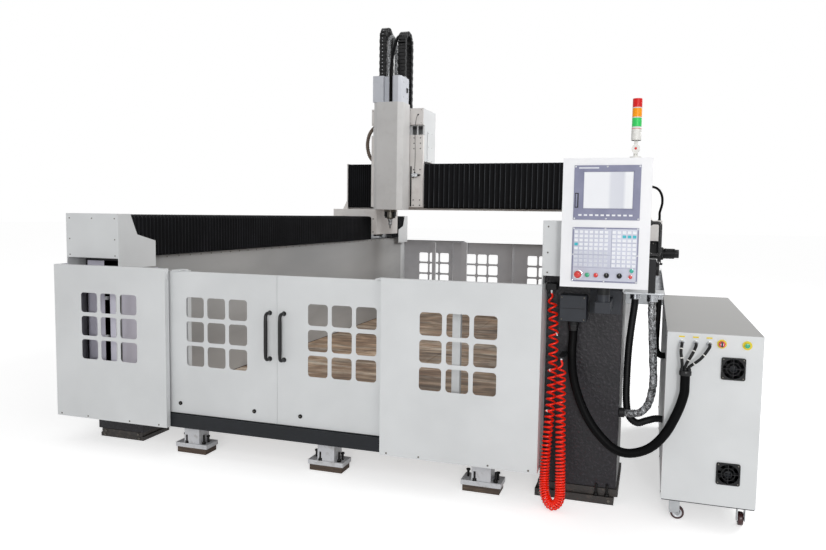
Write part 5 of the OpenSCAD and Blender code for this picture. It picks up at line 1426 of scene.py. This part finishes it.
# the rotary switch with its grip bar, and the push button with its collar
dial = [(0, 0), (10.8, 0), (10.8, 26), (15, 26), (16.9, 28), (16.9, 37), (15, 40.5), (0, 41)]
switch = [turned(dial, at(SWITCH_X, 70.6, SWITCH_ROW), FRONT, BUTTON_RED, 36),
          turned([(0, 0), (7, 0), (7, 0.9), (0, 0.9)], at(SWITCH_X, 29.4, SWITCH_ROW), FRONT, POLISHED, 24),
          slab((SWITCH_X - 4, SWITCH_X + 4), (24.2, 32), (SWITCH_ROW - 14, SWITCH_ROW + 14), JUNCTION, 1.5,
               3)]
stand_for(join("main_switch", switch), "cabinet_switch")
cap = [(0, 0), (10.8, 0), (10.8, 30), (13.6, 30), (14.8, 31.4), (14.8, 34), (13, 36), (8, 37), (0, 37)]
collar = [(12.6, 33), (14.95, 33), (14.95, 35), (13.8, 36.2), (12.6, 36), (12.6, 33)]
button = [turned(cap, at(BUTTON_X, 71.6, SWITCH_ROW), FRONT, BUTTON_GREEN, 36),
          turned(collar, at(BUTTON_X, 71.6, SWITCH_ROW), FRONT, YELLOW, 36)]
stand_for(join("power_button", button), "cabinet_button")

for node in ("fork_left", "fork_right"):
    stand_for(shape_of(node, 1.2, [ZINC]), node, name=node + "_zinc")


def caster(node, x, y, axis):
    """Caster wheel: crowned maroon tread, chromed disc with a raised hub and an axle nut."""
    tread = [(26, -13.6), (35, -13.8), (37.4, -10), (37.9, 0), (37.4, 10), (35, 13.8), (26, 13.6),
             (26, -13.6)]
    disc = [(0, -12), (9, -14.6), (13, -13), (16, -9), (26.4, -11), (26.4, 11), (16, 9), (13, 13),
            (9, 14.6), (0, 12)]
    axle = [(0, -21.6), (5.6, -21.6), (5.8, -18), (5.8, 18), (5.6, 21.6), (0, 21.6)]
    parts = [turned(profile, at(x, y, 38), axis, finish, sides)
             for profile, finish, sides in ((tread, TREAD, 48), (disc, POLISHED, 40), (axle, ZINC, 6))]
    return stand_for(join(node + "_rolling", parts), node)


# the front left fork stands turned by a quarter
caster("wheel_front_left", 2293, 135, BACK)
caster("wheel_front_right", 2622, 163, RIGHT)
caster("wheel_rear_left", 2265, 1993, RIGHT)
caster("wheel_rear_right", 2622, 1993, RIGHT)

# ---------- boxes and fittings at the right front ----------


def fitting_finish(x, y, z, n):
    """Painted junction box, zinc-plated shelf, and black plastic on the rest."""
    if 1609 < x < 1761 and 1089 < z < 1241:
        return 0
    return 2 if x > 1954 and z > 1200 else 1


boxes = [shape_of("hose_fittings", 3, [JUNCTION, ABS, ZINC], fitting_finish, segments=3)]
boxes += pan_heads([(x, 89.7, z) for x in (1622, 1748) for z in (1102, 1228)], FRONT, 5)
boxes.append(slab((1614, 1756), (87.8, 90.4), (1164, 1166), ABS, 0.4, 1))
# chromed ribbed couplings that hold the hoses under the shelf
for x, y, r in ((2114, 250, 24.5), (2017, 360, 22.8), (2150, 400, 18.8)):
    ribs = rings(7, 5, [(r + 7, 2), (r + 4.4, 3.5), (r + 4.4, 6), (r + 7, 7.5)])
    profile = [(r, 0), (r + 7, 0)] + ribs + [(r + 7, 38), (r, 38), (r, 0)]
    boxes.append(turned(profile, at(x, y, 1248.8), DOWN, POLISHED, 32))
# the nuts at the coil hose's two ends
boxes.append(turned([(0, 0), (9, 0), (9, 12), (6.4, 14), (6.4, 20), (0, 20)], at(1556, 150, 1262.3), DOWN,
                    POLISHED, 6))
boxes.append(turned([(0, 0), (9, 0), (9, 10), (0, 10)], at(1634, 62, 880.2), DOWN, POLISHED, 6))
stand_for(join("junction_box_and_brackets", boxes), "hose_fittings")

# ---------- floor, backdrop and light ----------


def looked_at(tree):
    """An output that is 1 where the camera, a glossy surface or glass looks, and 0 for other light."""
    path = add(tree, "ShaderNodeLightPath").outputs
    seen = add(tree, "ShaderNodeMath", {0: path["Is Camera Ray"], 1: path["Is Glossy Ray"]},
               operation="MAXIMUM")
    return add(tree, "ShaderNodeMath", {0: seen.outputs[0], 1: path["Is Transmission Ray"]},
               operation="MAXIMUM").outputs[0]


def floor_finish():
    """Pale seamless floor: matt, keeps the machine's shadow, and whitens where it is looked at."""
    made = bpy.data.materials.new("seamless_floor")
    made.use_nodes = True
    tree = made.node_tree
    tree.nodes.clear()
    where = add(tree, "ShaderNodeTexCoord").outputs["Object"]
    clouds = add(tree, "ShaderNodeTexNoise", {"Vector": where, "Scale": per(900), "Detail": 3.0})
    tone = add(tree, "ShaderNodeMapRange", {"Value": clouds.outputs["Fac"], "To Min": 0.86, "To Max": 0.9})
    matt = add(tree, "ShaderNodeBsdfDiffuse", {"Color": tone.outputs["Result"]})
    lift = add(tree, "ShaderNodeMath", {0: looked_at(tree), 1: 0.56}, operation="MULTIPLY")
    glow = add(tree, "ShaderNodeEmission", {"Color": (1, 1, 1, 1), "Strength": lift.outputs[0]})
    both = add(tree, "ShaderNodeAddShader", {0: matt.outputs[0], 1: glow.outputs[0]})
    add(tree, "ShaderNodeOutputMaterial", {"Surface": both.outputs[0]})
    return made


bpy.ops.object.select_all(action="DESELECT")
# half a millimetre under the feet, so that the two don't share a plane
bpy.ops.mesh.primitive_plane_add(size=160, location=(0, 0, -0.0005))
floor = bpy.context.object
floor.name = "seamless_floor"
floor.data.materials.append(floor_finish())

world = bpy.data.worlds.new("studio")
scene.world = world
world.use_nodes = True
sky = world.node_tree
sky.nodes.clear()
# the backdrop is white to look at, and lights the machine at less than half of that
strength = add(sky, "ShaderNodeMapRange", {"Value": looked_at(sky), "To Min": 0.42, "To Max": 1.0})
back = add(sky, "ShaderNodeBackground", {"Color": (1, 1, 1, 1), "Strength": strength.outputs["Result"]})
add(sky, "ShaderNodeOutputWorld", {"Surface": back.outputs[0]})


def light(name, kind, place, target, **settings):
    """A light at place that shines towards target."""
    data = bpy.data.lights.new(name, kind)
    for key, value in settings.items():
        setattr(data, key, value)
    obj = bpy.data.objects.new(name, data)
    scene.collection.objects.link(obj)
    obj.location = place
    obj.rotation_mode = "QUATERNION"
    obj.rotation_quaternion = (Vector(target) - Vector(place)).to_track_quat("-Z", "Y")
    return obj


light("front_sun", "SUN", (1.6, -7.3, 3.0), (0, 0, 0), energy=0.56, angle=math.radians(22))
light("hall_light", "AREA", (3.75, -13.0, 2.3), (0.3, -2.0, 1.1), energy=225, shape="SQUARE", size=0.7)
light("front_right", "AREA", (6.5, -8.5, 3.6), (1.2, -3.0, 1.0), energy=60, shape="SQUARE", size=4)
light("high_right", "AREA", (6.0, 2.4, 5.2), (-1.2, 1.9, 2.9), energy=330, shape="SQUARE", size=3)
